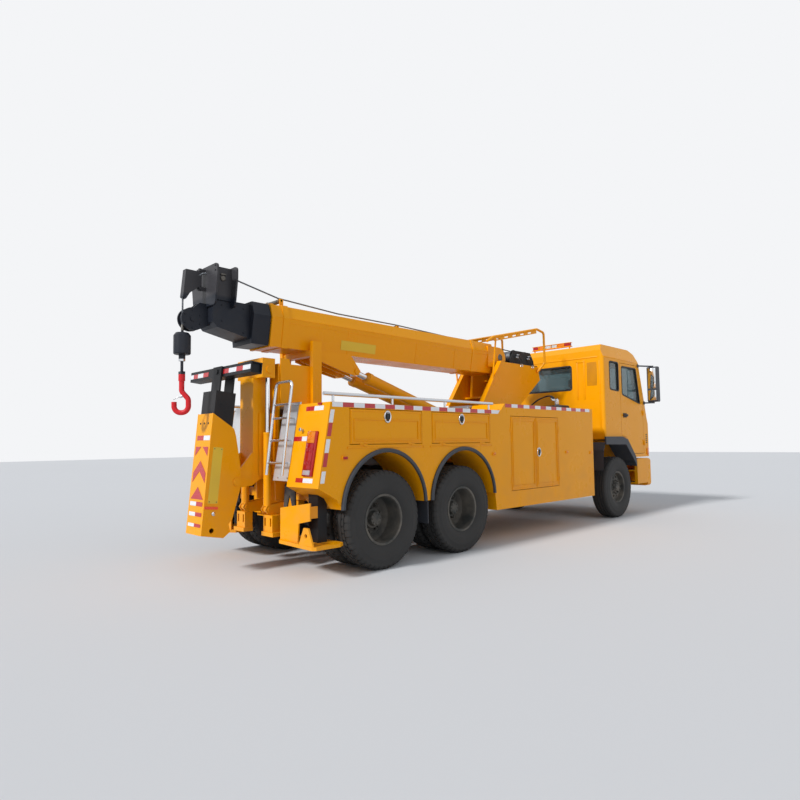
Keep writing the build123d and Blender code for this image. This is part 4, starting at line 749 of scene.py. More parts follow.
# %% Tail clusters, side markers, head lamps and the signal bar
LAMP_COATS = ["black rubber seal", "amber lamp lens", "red lamp lens", "clear lamp lens",
              "polished stainless", "yellow enamel"]
BED, AMBER, RED, CLEAR, BRIGHT, BRACKET = range(6)
lens_rings = turned_part(((0, 0), (0.033, 0), (0.033, 0.004), (0.026, 0.0065), (0.024, 0.004),
                          (0.015, 0.0065), (0.013, 0.004), (0.005, 0.007), (0, 0.007)), 28)
lamp_set = bmesh.new()
for side_name, side in SIDES:
    lean = Matrix.Rotation(LEAN, 4, "X")
    face = at_place(side * 1.05, tail_y(1.278), 1.278, lean)
    add_block(lamp_set, (0.168, 0.026, 0.468), face @ shift((0, 0.011, 0)), RED, 0.008)
    for low, high, coat, rings in ((0.108, 0.228, AMBER, (0.168,)), (-0.166, 0.102, RED, (-0.098, 0.036)),
                                   (-0.222, -0.172, CLEAR, ())):
        middle = face @ shift((0, 0.026, (low + high) / 2))
        add_block(lamp_set, (0.118, 0.016, high - low), middle, coat, 0.006)
        for z in rings:
            for x in (-0.029, 0.029):
                add_part(lamp_set, lens_rings, face @ shift((x, 0.0335, z)) @ AFT @ Matrix.Scale(0.8, 4),
                         coat)
    for y, z, coat in ((0.590, 1.231, RED), (-1.975, 1.218, AMBER), (-3.880, 1.205, AMBER),
                       (-4.660, 1.184, AMBER)):
        spot = on_side(side, 1.250, y, z)
        add_block(lamp_set, (0.078, 0.014, 0.044), spot @ shift((0, 0.006, 0)), BRACKET)
        add_block(lamp_set, (0.060, 0.014, 0.030), spot @ shift((0, 0.013, 0)), coat, 0.005)
    nose = at_place(side * 0.975, -7.100, 0.795, Matrix.Rotation(pi, 4, "Z"))
    add_block(lamp_set, (0.318, 0.030, 0.196), nose @ shift((0, 0.012, 0)), BED, 0.012)
    for x in (-0.078, 0.078):
        add_part(lamp_set, lens_rings, nose @ shift((x, 0.027, 0)) @ AFT @ Matrix.Scale(2.1, 4), CLEAR)
    corner = on_side(side, 1.220, -7.015, 1.155)
    add_block(lamp_set, (0.075, 0.020, 0.130), corner @ shift((0, 0.006, 0)), AMBER, 0.008)
    tail_lamp = at_place(side * 1.088, tail_y(1.792), 1.792, lean)
    add_block(lamp_set, (0.060, 0.020, 0.022), tail_lamp @ shift((0, 0.009, 0)), RED)
    knob = ((0, 0), (0.014, 0), (0.014, 0.012), (0.008, 0.014), (0.008, 0.026), (0.019, 0.032),
            (0.021, 0.044), (0.014, 0.052), (0, 0.053))
    add_turned(lamp_set, knob, at_place(side * 0.851, tail_y(1.524), 1.524, lean @ AFT), BRIGHT, 20)
    add_turned(lamp_set, ((0, 0), (0.014, 0), (0.014, 0.078), (0, 0.078)),
               at_place(side * 0.38, -5.65, 3.090), BRACKET, 16)
add_block(lamp_set, (0.84, 0.080, 0.016), at_place(0, -5.65, 3.174), BRACKET)
add_block(lamp_set, (0.84, 0.080, 0.010), at_place(0, -5.65, 3.246), BRACKET)
for i, coat in enumerate((RED, AMBER, CLEAR, CLEAR, AMBER, RED)):
    x = -0.345 + 0.138 * i
    add_block(lamp_set, (0.122, 0.066, 0.058), at_place(x, -5.65, 3.211), coat, 0.010)
    if i:
        add_block(lamp_set, (0.010, 0.076, 0.066), at_place(x - 0.069, -5.65, 3.211), BRACKET, 0.002)
piece = settle(lamp_set, "lamp_set", LAMP_COATS, "truck")
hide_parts("lamps")
print("lamp faces", len(piece.data.polygons))

# %% [markdown]
# ## Locker lids and doors
# A thin steel lid stays flat because a bead is rolled round it. Here a narrow eased frame follows
# the lid's edge and another one its sunken field, and both ride on the lid, so they turn with it.
# The flush latches are oval dishes with a bright rim and a paddle inside, and under each lid runs
# a drip rail that stays on the body.

# %% Beads, latches and drip rails
rim = turned_part(((0.024, 0), (0.0245, 0.006), (0.028, 0.0085), (0.032, 0.007), (0.034, 0)), 28)
dish = turned_part(((0.0255, 0.0008), (0.020, 0.0024), (0, 0.0024)), 28)
barrel = turned_part(((0, 0), (0.0075, 0), (0.0075, 0.006), (0.005, 0.0065), (0, 0.0050)), 16)
# Each leaf from low to high y and from foot to top, how far in its inner bead lies at the sides,
# below and above, and its latch's (y, z).
LEAVES = (
    ("locker_lid_rear", -0.573, 0.514, 1.372, 1.742, (0.050, 0.035, 0.100), (-0.022, 1.670)),
    ("locker_lid_front", -1.898, -0.757, 1.372, 1.742, (0.050, 0.035, 0.100), (-1.309, 1.668)),
    ("locker_door_rear", -3.008, -2.383, 0.703, 1.730, (0.040, 0.050, 0.050), None),
    ("locker_door_front", -3.640, -3.015, 0.703, 1.730, (0.040, 0.050, 0.050), (-3.083, 1.220)),
)
LATCH_COATS = ["yellow enamel", "polished stainless", "black rubber seal"]
for side_name, side in SIDES:
    for node, low, high, foot, top, (sides, under, over), latch in LEAVES:
        shape = bmesh.new()
        middle = (low + high) / 2
        for wide, bottom, upper, width in ((high - low - 0.022, foot + 0.011, top - 0.011, 0.012),
                                           (high - low - 2 * sides, foot + under, top - over, 0.013)):
            bead = frame_part(wide, upper - bottom, width, 0.0075, 0.0028)
            add_part(shape, bead, on_side(side, 1.2498, middle, (bottom + upper) / 2))
            bead.free()
        if latch:
            spot = at_place(side * 1.2506, *latch, OUT[side])
            oval = spot @ Matrix.Diagonal((2.10, 1.60, 1.4, 1))
            add_part(shape, rim, oval, 1)
            add_part(shape, dish, oval, 2)
            add_block(shape, (0.066, 0.036, 0.007), spot @ shift((0.010 * side, 0, 0.006)), 2, 0.003)
            add_part(shape, barrel, spot @ shift((-0.042 * side, 0, 0.004)), 1)
        settle(shape, f"{node}_trim_{side_name}", LATCH_COATS, f"{node}_{side_name}")
    shape = bmesh.new()
    for node, low, high, *_ in LEAVES[:2]:
        add_block(shape, (high - low + 0.06, 0.008, 0.011),
                  on_side(side, 1.2550, (low + high) / 2, 1.334), 0, 0.003)
        for y in (low - 0.03, high + 0.03):
            add_block(shape, (0.020, 0.011, 0.022), on_side(side, 1.2552, y, 1.334))
    settle(shape, f"drip_rails_{side_name}", ["yellow enamel"], "truck")
print("lids and doors trimmed", 2 * len(LEAVES))

# %% [markdown]
# ## Wire rope
# Wire rope is six strands laid round a core, which shows as slanting lobes. A ring with six lobes
# is spun about the rope's own line while it also moves along it, so the lobes wind by themselves.
# Between two bodies the rope is one straight piece that rides on neither of them: the run from the
# drum over the boom's pivot to the boom, and the run from the boom to the sheave. On the boom the
# rope sags a little between its two rollers.

# %% The rope from the winch to the hook, and its turns on the drums


ROPE_RADIUS, LAY = 0.0102, 0.085      # a strand goes once round the rope in one lay
POINTS = 18                           # round the rope, three for each strand
RUN_STEP = 0.016                      # along the rope


def rope_part(length):
    """Six-strand rope along +Z: a lobed ring spun about the line and moved along it."""
    part = bmesh.new()
    ring = []
    for i in range(POINTS):
        radius, angle = ROPE_RADIUS * (0.80 if i % 3 == 0 else 1.0), 2 * pi * i / POINTS
        ring.append(part.verts.new((radius * cos(angle), radius * sin(angle), 0)))
    lines = [part.edges.new(pair) for pair in zip(ring, ring[1:] + ring[:1])]
    steps = max(2, round(length / RUN_STEP))
    bmesh.ops.spin(part, geom=ring + lines, cent=(0, 0, 0), axis=(0, 0, 1), angle=2 * pi * length / LAY,
                   steps=steps, dvec=(0, 0, length / steps))
    bmesh.ops.holes_fill(part, edges=[e for e in part.edges if e.is_boundary], sides=0)
    return part


def add_rope(shape, start, end):
    """Adds a straight run of rope between two (x, y, z) points, y measured from the rear axle."""
    start, end = (Vector((x, TAIL + y, z)) for x, y, z in (start, end))
    run = end - start
    part = rope_part(run.length)
    add_part(shape, part, shift(start) @ run.to_track_quat("Z", "Y").to_matrix().to_4x4())
    part.free()


DRUM_END, GUIDE_LOW = (-0.110, -4.330, 2.944), (-0.090, -1.300, 3.0475)
SAG = (-0.090, -0.250, 3.0520)          # where it hangs between the two rollers
GUIDE_HIGH, SHEAVE = (-0.090, 0.642, 3.1045), (-0.085, 1.398, 3.2660)
OVER_SHEAVE = (SHEAVE, (-0.040, 1.560, 3.232), (-0.006, 1.700, 3.140), (0.0, 1.748, 3.030),
               (0.0, 1.762, 2.945), (0.0, 1.762, 2.724))


def at_tail(x, y, z):
    """A point in the truck's frame from one measured from the rear axle."""
    return (x, TAIL + y, z)


BEND = (-0.105, -3.650, 2.967), (-0.103, -3.400, 2.976)   # over the boom's pivot, where the rope bends
for name, ends, bodies, bend in (("rope_to_boom", (DRUM_END, GUIDE_LOW), ("truck", "boom"), BEND),
                                 ("rope_to_sheave", (GUIDE_HIGH, SHEAVE), ("boom", "boom_extension"),
                                  (GUIDE_HIGH, SHEAVE))):
    shape = bmesh.new()
    add_rope(shape, *ends)
    run = settle(shape, name, ["galvanised wire"], None)
    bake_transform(run)
for name, line, body in (("rope_on_boom", (GUIDE_LOW, SAG, GUIDE_HIGH), "boom"),
                         ("rope_over_sheave", OVER_SHEAVE, "boom_extension")):
    shape = bmesh.new()
    for first, last in zip(line, line[1:]):
        add_rope(shape, first, last)
    settle(shape, name, ["galvanised wire"], body)
shape = bmesh.new()
add_rope(shape, (0, 1.762, 2.716), (0, 1.762, 2.592))
ferrule = ((0, 0), (0.013, 0), (0.0145, 0.006), (0.0145, 0.060), (0.011, 0.068), (0, 0.069))
add_turned(shape, ferrule, at_place(0, 1.762, 2.586), 1, 20)
settle(shape, "rope_fall", ["galvanised wire", "worn steel"], "hook")

TURNS, PITCH_OF_TURNS = 14, 0.01395    # wound on each half of a drum
coil = [(0.081, 0.0)]
for turn in range(TURNS):
    start = 0.0012 + turn * PITCH_OF_TURNS
    coil += [(0.0885, start), (0.0945, start + 0.0030), (0.0962, start + 0.0070), (0.0945, start + 0.0110)]
coil += [(0.0885, 0.1965), (0.081, 0.1978)]
wound = turned_part(coil, 36)
shape = bmesh.new()
for y in (-4.36, -4.015):
    for x in (-0.2080, 0.0090):
        add_part(shape, wound, at_place(x, y, 2.842, OUT[1]))
settle(shape, "wound_rope", ["galvanised wire"], "truck")
print("rope runs", 4 + len(OVER_SHEAVE), "turns on each half drum", TURNS)

# %% [markdown]
# ## Hydraulics
# Two chromed rods stand beside the column and lift it: bright sleeves round the plain rods of the
# model. Hoses run from the winch motors and over the frame behind the cab: rubber tubes with
# crimped steel ends. A hose is a chain of rings laid along a curved line and bridged.

# %% Column rods, hoses, tank and valve chest


def hose_part(points, radius):
    """A round hose through points in the truck's frame, rounded at each with a smooth curve."""
    line, steps, sides = [], 8, 10
    points = [Vector(p) for p in points]
    for i, (a, b) in enumerate(zip(points, points[1:])):
        before = points[i - 1] if i else a - (b - a)
        after = points[i + 2] if i + 2 < len(points) else b + (b - a)
        for k in range(steps):
            t = k / steps
            line.append(0.5 * (2 * a + (b - before) * t + (2 * before - 5 * a + 4 * b - after) * t * t
                               + (3 * a - before - 3 * b + after) * t ** 3))
    line.append(points[-1])
    part = bmesh.new()
    rings = []
    for i, spot in enumerate(line):
        heading = line[min(i + 1, len(line) - 1)] - line[max(i - 1, 0)]
        place = shift(spot) @ heading.to_track_quat("Z", "Y").to_matrix().to_4x4()
        made = bmesh.ops.create_circle(part, segments=sides, radius=radius, matrix=place)
        rings.append(list({e for v in made["verts"] for e in v.link_edges}))
    for one, two in zip(rings, rings[1:]):
        bmesh.ops.bridge_loops(part, edges=one + two)
    return part


fitting = turned_part(((0.0, 0), (0.012, 0), (0.012, 0.010), (0.017, 0.012), (0.017, 0.030),
                       (0.0145, 0.032), (0.0145, 0.058), (0.0, 0.060)), 14)
for side_name, side in SIDES:
    shape = bmesh.new()
    sleeve = ((0, 0), (0.0288, 0), (0.0288, 1.022), (0.0, 1.022))
    add_turned(shape, sleeve, at_place(side * 0.238, 0.875, 1.106), 0, 40)
    settle(shape, f"column_rod_{side_name}", ["hard chrome"], "column")

FRAME_HOSE = ((0.30, -4.86, 1.40), (0.277, -4.85, 1.63), (0.147, -4.84, 1.92), (-0.05, -4.85, 2.06),
              (-0.20, -4.86, 2.145), (-0.37, -4.88, 2.19), (-0.44, -4.90, 2.10))
STEPS_APART = ((-1, 0, 0), (-1, 0, 0), (-0.8, 0, 0), (-0.5, 0, 0.4), (0, -1, 0.3), (0, -1, 0), (0, -1, 0))
HOSES = []
for k in range(4):
    apart = 0.030 * k
    HOSES.append([[at + apart * step for at, step in zip(spot, steps)]
                  for spot, steps in zip(FRAME_HOSE, STEPS_APART)])
MOTOR_HOSES = (((0.276, 0, 2.86), (0.335, 0, 2.85), (0.352, -0.05, 2.76), (0.318, -0.11, 2.66)),
               ((0.276, 0.03, 2.82), (0.322, 0.03, 2.81), (0.340, -0.01, 2.74), (0.316, -0.07, 2.66)))
for y in (-4.36, -4.015):
    for side in (-1, 1):
        HOSES += [[(side * x, y + step, z) for x, step, z in line] for line in MOTOR_HOSES]
shape = bmesh.new()
for route in HOSES:
    route = [at_tail(*p) for p in route]
    hose = hose_part(route, 0.011 if len(route) > 5 else 0.008)
    add_part(shape, hose)
    hose.free()
    for end, inner in ((Vector(route[0]), Vector(route[1])), (Vector(route[-1]), Vector(route[-2]))):
        aim = (inner - end).to_track_quat("Z", "Y").to_matrix().to_4x4()
        add_part(shape, fitting, shift(end) @ aim, 1)
settle(shape, "hydraulic_hoses", ["black rubber hose", "polished stainless"], "truck")

shape = bmesh.new()
add_block(shape, (0.34, 0.30, 0.94), at_place(-0.46, -5.00, 1.545), 0, 0.030)
add_block(shape, (0.27, 0.24, 0.42), at_place(0.56, -4.96, 1.62), 1, 0.012)
CAN = ((0, 0), (0.082, 0), (0.088, 0.010), (0.088, 0.300), (0.075, 0.318), (0.030, 0.326),
       (0.030, 0.350), (0, 0.352))
add_turned(shape, CAN, at_place(0.16, -5.02, 1.40), 2)
add_turned(shape, CAN, at_place(-0.46, -5.00, 1.985, Matrix.Scale(0.45, 4)), 3)
add_block(shape, (1.30, 0.08, 0.06), at_place(0, -5.00, 1.075), 2, 0.006)
for x in (-0.6, 0.6):
    add_block(shape, (0.08, 0.30, 0.06), at_place(x, -4.97, 1.075), 2, 0.006)
settle(shape, "tank_and_chest", ["dark tank enamel", "tan chest enamel", "black underframe paint",
                                 "polished stainless"], "truck")
print("hoses", len(HOSES))

# %% [markdown]
# ## The cab from outside
# A cab window sits in a black rubber profile that grips the glass and the steel round it. Each is
# a ring cut to its window's own outline with rounded corners. The rear wall carries a pressed rib,
# fine vent slots drawn as black strips of painted shade, and a roof seam; the nose has dark
# louvres, wipers and a handle on each door.

# %% Window rubbers
RUBBER = "black rubber seal"


def ring_part(outline, width, thick, corner):
    """A flat ring along an outline of (X, Z) points with rounded corners, its thickness towards +Y."""
    part = bmesh.new()
    part.faces.new([part.verts.new((x, 0, z)) for x, z in outline])
    bmesh.ops.bevel(part, geom=part.verts[:], offset=corner, segments=5, affect="VERTICES",
                    profile=0.5, material=-1)
    leave_rim(part, width, thick)
    return part


ALONG = Matrix.Rotation(-pi / 2, 4, "Z")    # turns an outline drawn as (-y, z) to stand along the truck


def add_side_ring(shape, outline, side):
    """Adds the rubber of a side window, 26 mm wide, round an outline of (y, z) points 12 mm wider."""
    near, far = side * 1.196, side * 1.223
    part = ring_part([(-y, z) for y, z in wider(outline, 0.012)], 0.026, abs(far - near), 0.052)
    add_part(shape, part, at_place(min(near, far), 0, 0, ALONG))
    part.free()


DOOR_WINDOW = ((-5.990, 2.220), (-6.755, 2.070), (-6.600, 2.735), (-5.990, 2.735))
QUARTER_WINDOW = ((-5.510, 2.290), (-5.860, 2.270), (-5.860, 2.790), (-5.510, 2.790))


def wider(outline, step):
    """The outline moved outwards from its own middle by about a step."""
    cy = sum(y for y, z in outline) / len(outline)
    cz = sum(z for y, z in outline) / len(outline)
    return [(y + (step if y > cy else -step), z + (step if z > cz else -step)) for y, z in outline]


SCREEN_TURN = Matrix.Rotation(-atan2(0.323, 1.100), 4, "X")      # the windscreen's rise over its height
cab_rubbers = bmesh.new()
for side_name, side in SIDES:
    add_side_ring(cab_rubbers, QUARTER_WINDOW, side)
    shape = bmesh.new()
    add_side_ring(shape, DOOR_WINDOW, side)
    add_block(shape, (0.176, 0.034, 0.042), on_side(side, 1.2345, -6.075, 1.835), 0, 0.012)
    add_block(shape, (0.150, 0.003, 0.080), on_side(side, 1.2215, -6.075, 1.835), 0, 0.001)
    settle(shape, f"door_rubber_and_handle_{side_name}", [RUBBER], f"cab_door_{side_name}")
rear_ring = ring_part([(-0.622, 2.288), (0.622, 2.288), (0.622, 2.752), (-0.622, 2.752)], 0.028, 0.030, 0.055)
add_part(cab_rubbers, rear_ring, at_place(0, -5.298, 0))
screen_ring = ring_part([(-1.072, -0.497), (1.072, -0.497), (1.072, 0.497), (-1.072, 0.497)],
                        0.034, 0.030, 0.050)
add_part(cab_rubbers, screen_ring, at_place(0, -6.880, 2.365, SCREEN_TURN))
for x in (-0.62, 0.10):
    wiper = at_place(x, -7.008, 1.935, SCREEN_TURN @ Matrix.Rotation(0.12, 4, "Y"))
    add_block(cab_rubbers, (0.018, 0.014, 0.420), wiper @ shift((0, 0, 0.21)))
    add_block(cab_rubbers, (0.012, 0.020, 0.560), wiper @ shift((0.03, 0.012, 0.33)))
for i in range(6):
    add_block(cab_rubbers, (1.62, 0.012, 0.036), at_place(0, -7.0830, 1.180 + 0.075 * i), 0, 0.005)
for side_name, side in SIDES:
    for i in range(5):
        add_block(cab_rubbers, (0.060, 0.006, 0.016), on_side(side, 1.2215, -6.990, 1.330 + 0.038 * i),
                  0, 0.002)
    # The rear wall's vent slots: thin black strips, painted shade in place of the dark openings.
    for i in range(9):
        vent = at_place(side * (0.925 + 0.021 * i), -5.2695, 2.56)
        add_block(cab_rubbers, (0.006, 0.004, 0.420), vent, 0, 0.001)
settle(cab_rubbers, "cab_rubbers_and_louvres", [RUBBER], "truck")

# %% The pressed rib, roof seam, step treads and mirror glass
shape = bmesh.new()
for side_name, side in SIDES:
    for x, low, high in ((0.725, 2.12, 2.80), (0.860, 2.12, 2.80)):
        add_block(shape, (0.030, 0.014, high - low), at_place(side * x, -5.2665, (low + high) / 2), 0, 0.006)
    add_block(shape, (0.165, 0.014, 0.030), at_place(side * 0.7925, -5.2665, 2.795), 0, 0.006)
    add_block(shape, (0.022, 0.014, 1.180), at_place(side * 1.150, -5.2675, 2.20), 0, 0.006)
    add_block(shape, (1.150, 0.012, 0.018), on_side(side, 1.2210, -5.900, 2.858), 0, 0.004)
    for z in (0.588, 0.818):
        for i in range(6):
            add_block(shape, (0.190, 0.012, 0.004), at_place(side * 1.075, -6.800 + 0.055 * i, z), 1, 0.001)
add_block(shape, (2.24, 0.014, 0.022), at_place(0, -5.2675, 2.860), 0, 0.006)
settle(shape, "cab_pressings", ["yellow enamel", "worn steel"], "truck")
shape = bmesh.new()
for side_name, side in SIDES:
    add_block(shape, (0.150, 0.006, 0.390), at_place(side * 1.395, -6.9225, 2.565), 0, 0.002)
    add_block(shape, (0.150, 0.006, 0.190), at_place(side * 1.395, -6.9225, 2.235), 0, 0.002)
settle(shape, "mirror_glasses", ["mirror glass"], "truck")

# %% [markdown]
# ## Inside the cab
# Seats are foam under stretched cloth: full in the middle, drawn in along the seams and rounded at
# every edge. Each is a block with large eased edges whose middle is raised, with side bolsters
# and a head rest. The dash is a moulded shell with instruments and vents, seen through the glass.

# %% Seats, dash and steering wheel


def cushion_part(wide, deep, high, crown):
    """A padded block: eased edges, a face that swells towards its middle and two sewn channels."""
    part = bmesh.new()
    bmesh.ops.create_cube(part, size=1, matrix=Matrix.Diagonal((wide, deep, high, 1)))
    bmesh.ops.bevel(part, geom=part.edges[:], offset=min(high, deep) * 0.32, segments=4, affect="EDGES",
                    profile=0.5, material=-1)
    long_edges = [e for e in part.edges if e.calc_length() > 0.1]
    bmesh.ops.subdivide_edges(part, edges=long_edges, cuts=12, use_grid_fill=True)
    for v in part.verts:
        across, along = v.co.x / (wide / 2), v.co.y / (deep / 2)
        if v.co.z > high * 0.3:
            v.co.z += crown * (1 - across ** 2) * (1 - along ** 2)
            v.co.z -= 0.008 * max(0.0, 1 - abs(abs(v.co.x) - wide * 0.30) / 0.018)
    return part


cushion = cushion_part(0.50, 0.52, 0.13, 0.016)
back = cushion_part(0.50, 0.76, 0.12, 0.014)
rest = cushion_part(0.27, 0.17, 0.10, 0.006)
bolster = cushion_part(0.09, 0.44, 0.10, 0.004)
RECLINE = Matrix.Rotation(radians(98), 4, "X")
shape = bmesh.new()
for side_name, side in SIDES:
    add_part(shape, cushion, at_place(side * 0.60, -5.840, 1.590, Matrix.Rotation(radians(3), 4, "X")))
    add_part(shape, back, at_place(side * 0.60, -5.470, 1.975, RECLINE))
    add_part(shape, rest, at_place(side * 0.60, -5.440, 2.440, RECLINE))
    for x in (-0.225, 0.225):
        add_part(shape, bolster, at_place(side * 0.60 + x, -5.850, 1.625))
        add_block(shape, (0.012, 0.012, 0.16), at_place(side * 0.60 + x * 0.3, -5.425, 2.350), 2, 0.004)
    add_block(shape, (0.40, 0.44, 0.10), at_place(side * 0.60, -5.800, 1.475), 1, 0.015)
DASH = ((-7.012, 1.480), (-7.012, 1.650), (-6.962, 1.790), (-6.890, 1.860), (-6.700, 1.840), (-6.640, 1.560),
        (-6.800, 1.480))
dash = plate_part([(-y, z) for y, z in DASH], 2.28, 0.018)
add_part(shape, dash, at_place(-1.14, 0, 0, ALONG), 1)
add_block(shape, (2.28, 0.17, 0.358), at_place(0, -6.915, 1.302), 1, 0.010)
hood = cushion_part(0.42, 0.20, 0.10, 0.01)
add_part(shape, hood, at_place(0.60, -6.765, 1.870), 1)
for x in (-0.95, -0.35, 0.15, 1.02):
    for i in range(4):
        slat = at_place(x, -6.672, 1.700 + 0.020 * i, Matrix.Rotation(0.2, 4, "X"))
        add_block(shape, (0.13, 0.006, 0.008), slat, 2, 0.002)
WHEEL = at_place(0.60, -6.54, 1.880, Matrix.Rotation(radians(-36.87), 4, "X"))
ring = bmesh.new()
bmesh.ops.create_circle(ring, segments=12, radius=0.015,
                        matrix=shift((0.210, 0, 0.012)) @ Matrix.Rotation(pi / 2, 4, "X"))
bmesh.ops.spin(ring, geom=ring.verts[:] + ring.edges[:], cent=(0, 0, 0), axis=(0, 0, 1), angle=2 * pi,
               steps=48, use_merge=True)
add_part(shape, ring, WHEEL, 1)
add_turned(shape, ((0, 0), (0.070, 0), (0.075, 0.012), (0.060, 0.030), (0, 0.034)), WHEEL, 1, 28)
for turn in (0, pi, -pi / 2):
    spoke = WHEEL @ Matrix.Rotation(turn, 4, "Z") @ shift((0.135, 0, 0.012))
    add_block(shape, (0.150, 0.034, 0.014), spoke, 2, 0.004)
add_turned(shape, ((0, -0.30), (0.026, -0.30), (0.030, 0), (0, 0)), WHEEL, 1, 20)      # its column
piece = settle(shape, "cab_seats_and_dash", ["seat cloth", "moulded black plastic", "worn steel"], "truck",
               edge=50)
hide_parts("cab_interior")
print("seat faces", len(cushion.faces), "interior faces", len(piece.data.polygons))

# %% [markdown]
# ## The boom's seams and fittings
# The boom is folded from plate and welded, so it has two long weld beads along each side, ribs down
# its lower facet and a bolted cap on its pivot. A blank sign lies on the facet. The rope runs over
# two guide rollers, which are steel sleeves with brass ends.

# %% Boom welds, sign, rollers and pin caps
ROLLERS = ((0.150, 0.642, 3.063), (0.120, -1.300, 3.007))      # half its length, y, z


BOOM_HALF, FACET_TOP, DRAWN_IN, FACET_HIGH = 0.268, 2.835, 0.058, 0.335


def facet_x(z, lift=0.0):
    """Half the boom's width on its lower facet at a height, plus a little lift."""
    return BOOM_HALF - (FACET_TOP - z) * DRAWN_IN / FACET_HIGH + lift


shape = bmesh.new()
FACET = atan2(DRAWN_IN, FACET_HIGH)
for side_name, side in SIDES:
    for x, z in ((facet_x(2.790), 2.790), (BOOM_HALF, 2.842)):
        add_block(shape, (4.05, 0.005, 0.007), on_side(side, x, -1.29, z), 0, 0.002)
    for y in (-0.30, -1.55, -2.40):
        rib = at_place(side * facet_x(2.66, 0.001), y, 2.66, Matrix.Rotation(side * FACET, 4, "Y"))
        add_block(shape, (0.006, 0.010, 0.300), rib, 0, 0.002)
    corners = [(side * facet_x(z, 0.0025), TAIL + y, z)
               for y, z in ((-0.19, 2.56), (-0.78, 2.56), (-0.78, 2.68), (-0.19, 2.68))]
    add_film(shape, corners, 1, (side, 0, -0.2), 0.002)
    pivot = at_place(side * 0.281, -3.528, 2.768, OUT[side])
    add_turned(shape, ((0, 0), (0.060, 0), (0.060, 0.004), (0.052, 0.009), (0, 0.009)), pivot, 2)
    for spot in around(6, 0.042, 0.007):
        add_part(shape, small_bolt, pivot @ spot, 2)
    for half, y, z in ROLLERS:
        add_turned(shape, ((0, 0), (0.012, 0), (0.012, 0.006), (0, 0.006)),
                   at_place(side * (half + 0.006), y, z, OUT[side]), 3, 16)
for half, y, z in ROLLERS:
    sleeve = ((0.018, 0), (0.028, 0.004), (0.030, 0.020), (0.026, 0.5 * half), (0.026, 1.5 * half),
              (0.030, 2 * half - 0.020), (0.028, 2 * half - 0.004), (0.018, 2 * half))
    add_turned(shape, sleeve, at_place(-half, y, z, OUT[1]), 2, 28)
    for x in (-half + 0.014, half - 0.014):
        add_turned(shape, ((0.026, -0.006), (0.033, -0.005), (0.033, 0.005), (0.026, 0.006)),
                   at_place(x, y, z, OUT[1]), 3, 28)
settle(shape, "boom_fittings", ["yellow enamel", "yellow plate enamel", "worn steel", "brass"], "boom")

# %% Bolts and pads on the boom's head, and the hook's latch
shape = bmesh.new()
for side_name, side in SIDES:
    for y, z in ((1.140, 2.62), (1.140, 2.89), (1.400, 2.72), (1.400, 2.89)):
        add_part(shape, small_bolt, at_place(side * 0.170, y, z, OUT[side]))
    for spot in around(6, 0.095):
        add_part(shape, small_bolt, at_place(side * 0.054, 1.675, 2.720, OUT[side] @ spot))
    add_turned(shape, ((0, 0), (0.030, 0), (0.030, 0.010), (0.022, 0.016), (0, 0.016)),
               at_place(side * 0.188, 1.402, 3.180, OUT[side]), 1, 24)
    add_block(shape, (0.060, 0.016, 0.016), on_side(side, 0.200, 1.402, 3.220), 1, 0.003)
    for y, turn in ((1.280, Matrix.Rotation(pi / 2, 4, "X")), (1.525, AFT)):
        for z in (3.235, 3.285):
            add_part(shape, small_bolt, at_place(side * 0.255, y, z, turn))
settle(shape, "boom_head_bolts", ["blue-black enamel", "worn steel"], "boom_extension")

HOOK_TURN = at_place(0, 1.762, 0, Matrix.Rotation(pi / 4, 4, "Z"))
shape = bmesh.new()
latch = HOOK_TURN @ shift((0.022, 0, 1.888)) @ Matrix.Rotation(atan2(0.060, 0.130), 4, "Y")
add_block(shape, (0.138, 0.022, 0.0035), latch, 0, 0.001)
add_block(shape, (0.030, 0.034, 0.016), HOOK_TURN @ shift((-0.036, 0, 1.915)), 0, 0.004)
for y in (-0.015, 0.015):
    add_block(shape, (0.060, 0.003, 0.018), latch @ shift((-0.030, y, -0.006)), 0, 0.001)
add_turned(shape, ((0, 0), (0.030, 0), (0.034, 0.004), (0.034, 0.024), (0.030, 0.028), (0, 0.028)),
           at_place(0, 1.762, 2.262), 0, 6)
settle(shape, "hook_latch", ["polished stainless"], "hook")
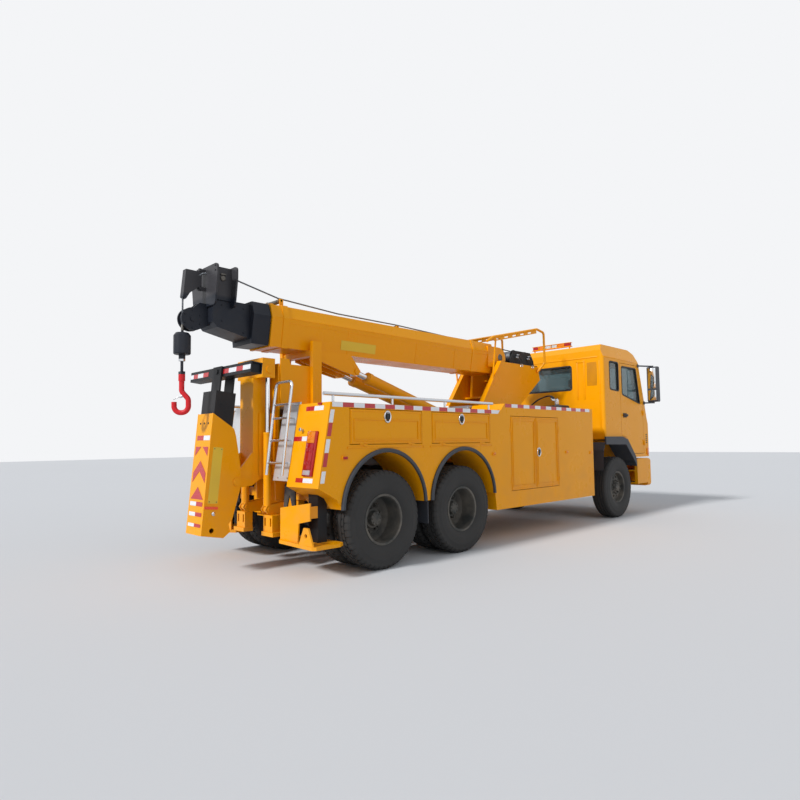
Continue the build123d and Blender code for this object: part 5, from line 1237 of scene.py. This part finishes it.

# %% [markdown]
# ## The underlift's fittings and the tail's bolts
# The arm's side carries a blank plate held by four bolts, an orange stripe and a locking knob, and
# its back has three holes, drawn as black discs of painted shade. The bright plates at the tail are
# held by a bolt in each corner, and more bolts stand on the tail's top plate and at the pedestal's foot.

# %% Arm plate, stripe and knob, and the bolts of the tail and the pedestal
shape = bmesh.new()
for side_name, side in SIDES:
    for coat, thick, near, far, low, high in ((0, 0.002, 0.20, 0.31, -0.24, 0.351),
                                              (3, 0.004, 0.19, 0.34, -0.300, -0.272)):
        corners = [ARM_FRAME @ Vector((side * 0.1756, back, up))
                   for back, up in ((near, low), (far, low), (far, high), (near, high))]
        add_film(shape, corners, coat, (side, 0, 0), thick)
    for back, up in ((0.215, -0.222), (0.295, -0.222), (0.215, 0.333), (0.295, 0.333)):
        add_part(shape, small_bolt, ARM_FRAME @ shift((side * 0.1772, back, up)) @ OUT[side]
                 @ Matrix.Scale(0.6, 4), 1)
    knob = ((0, 0), (0.015, 0), (0.015, 0.003), (0.021, 0.005), (0.021, 0.010), (0.015, 0.013), (0, 0.013))
    add_turned(shape, knob, ARM_FRAME @ shift((side * 0.175, 0.235, -0.345)) @ OUT[side], 2, 20)
# The three holes in the arm's back: thin black discs, painted shade in place of the dark inside of each hole.
for x in (-0.09, 0.0, 0.09):
    add_turned(shape, ((0, 0), (0.011, 0), (0.011, 0.0012), (0, 0.0012)),
               ARM_FRAME @ shift((x, 0.3535, 0.60)) @ AFT, 4, 20)
settle(shape, "arm_fittings", ["yellow plate enamel", "worn steel", "polished stainless",
                               "orange marker film", RUBBER], "arm")



def plate_y(z, lift):
    """How far aft the leaning bright plates are at a height, plus a little lift."""
    return lift + (1.835 - z) * 0.150 / 0.850


shape = bmesh.new()
for side_name, side in SIDES:
    for z in (1.020, 1.800):
        for x in (0.500, 0.676):
            add_part(shape, small_bolt, at_place(side * x, plate_y(z, 0.755), z, AFT))
    for y in (0.300, 0.5):
        add_part(shape, small_bolt, at_place(side * 0.310, y, 1.823), 1)
        add_part(shape, small_bolt, at_place(side * 0.400, y, 1.823), 1)
    for y in (-3.95, -3.0):
        for x in (0.345, 0.405):
            add_part(shape, nut, at_place(side * x, y, 1.090), 2)
settle(shape, "tail_and_pedestal_bolts", ["polished stainless", "yellow enamel", "worn steel"], "truck")
shape = bmesh.new()
for side_name, side in SIDES:
    add_film(shape, [(side * x, TAIL + plate_y(z, 0.7565), z)
                     for x, z in ((0.402, 0.988), (0.698, 0.988), (0.698, 1.832), (0.402, 1.832))])
settle(shape, "bright_tail_plates", ["bright sheet metal"], "truck")
print("arm, tail and pedestal fittings placed")
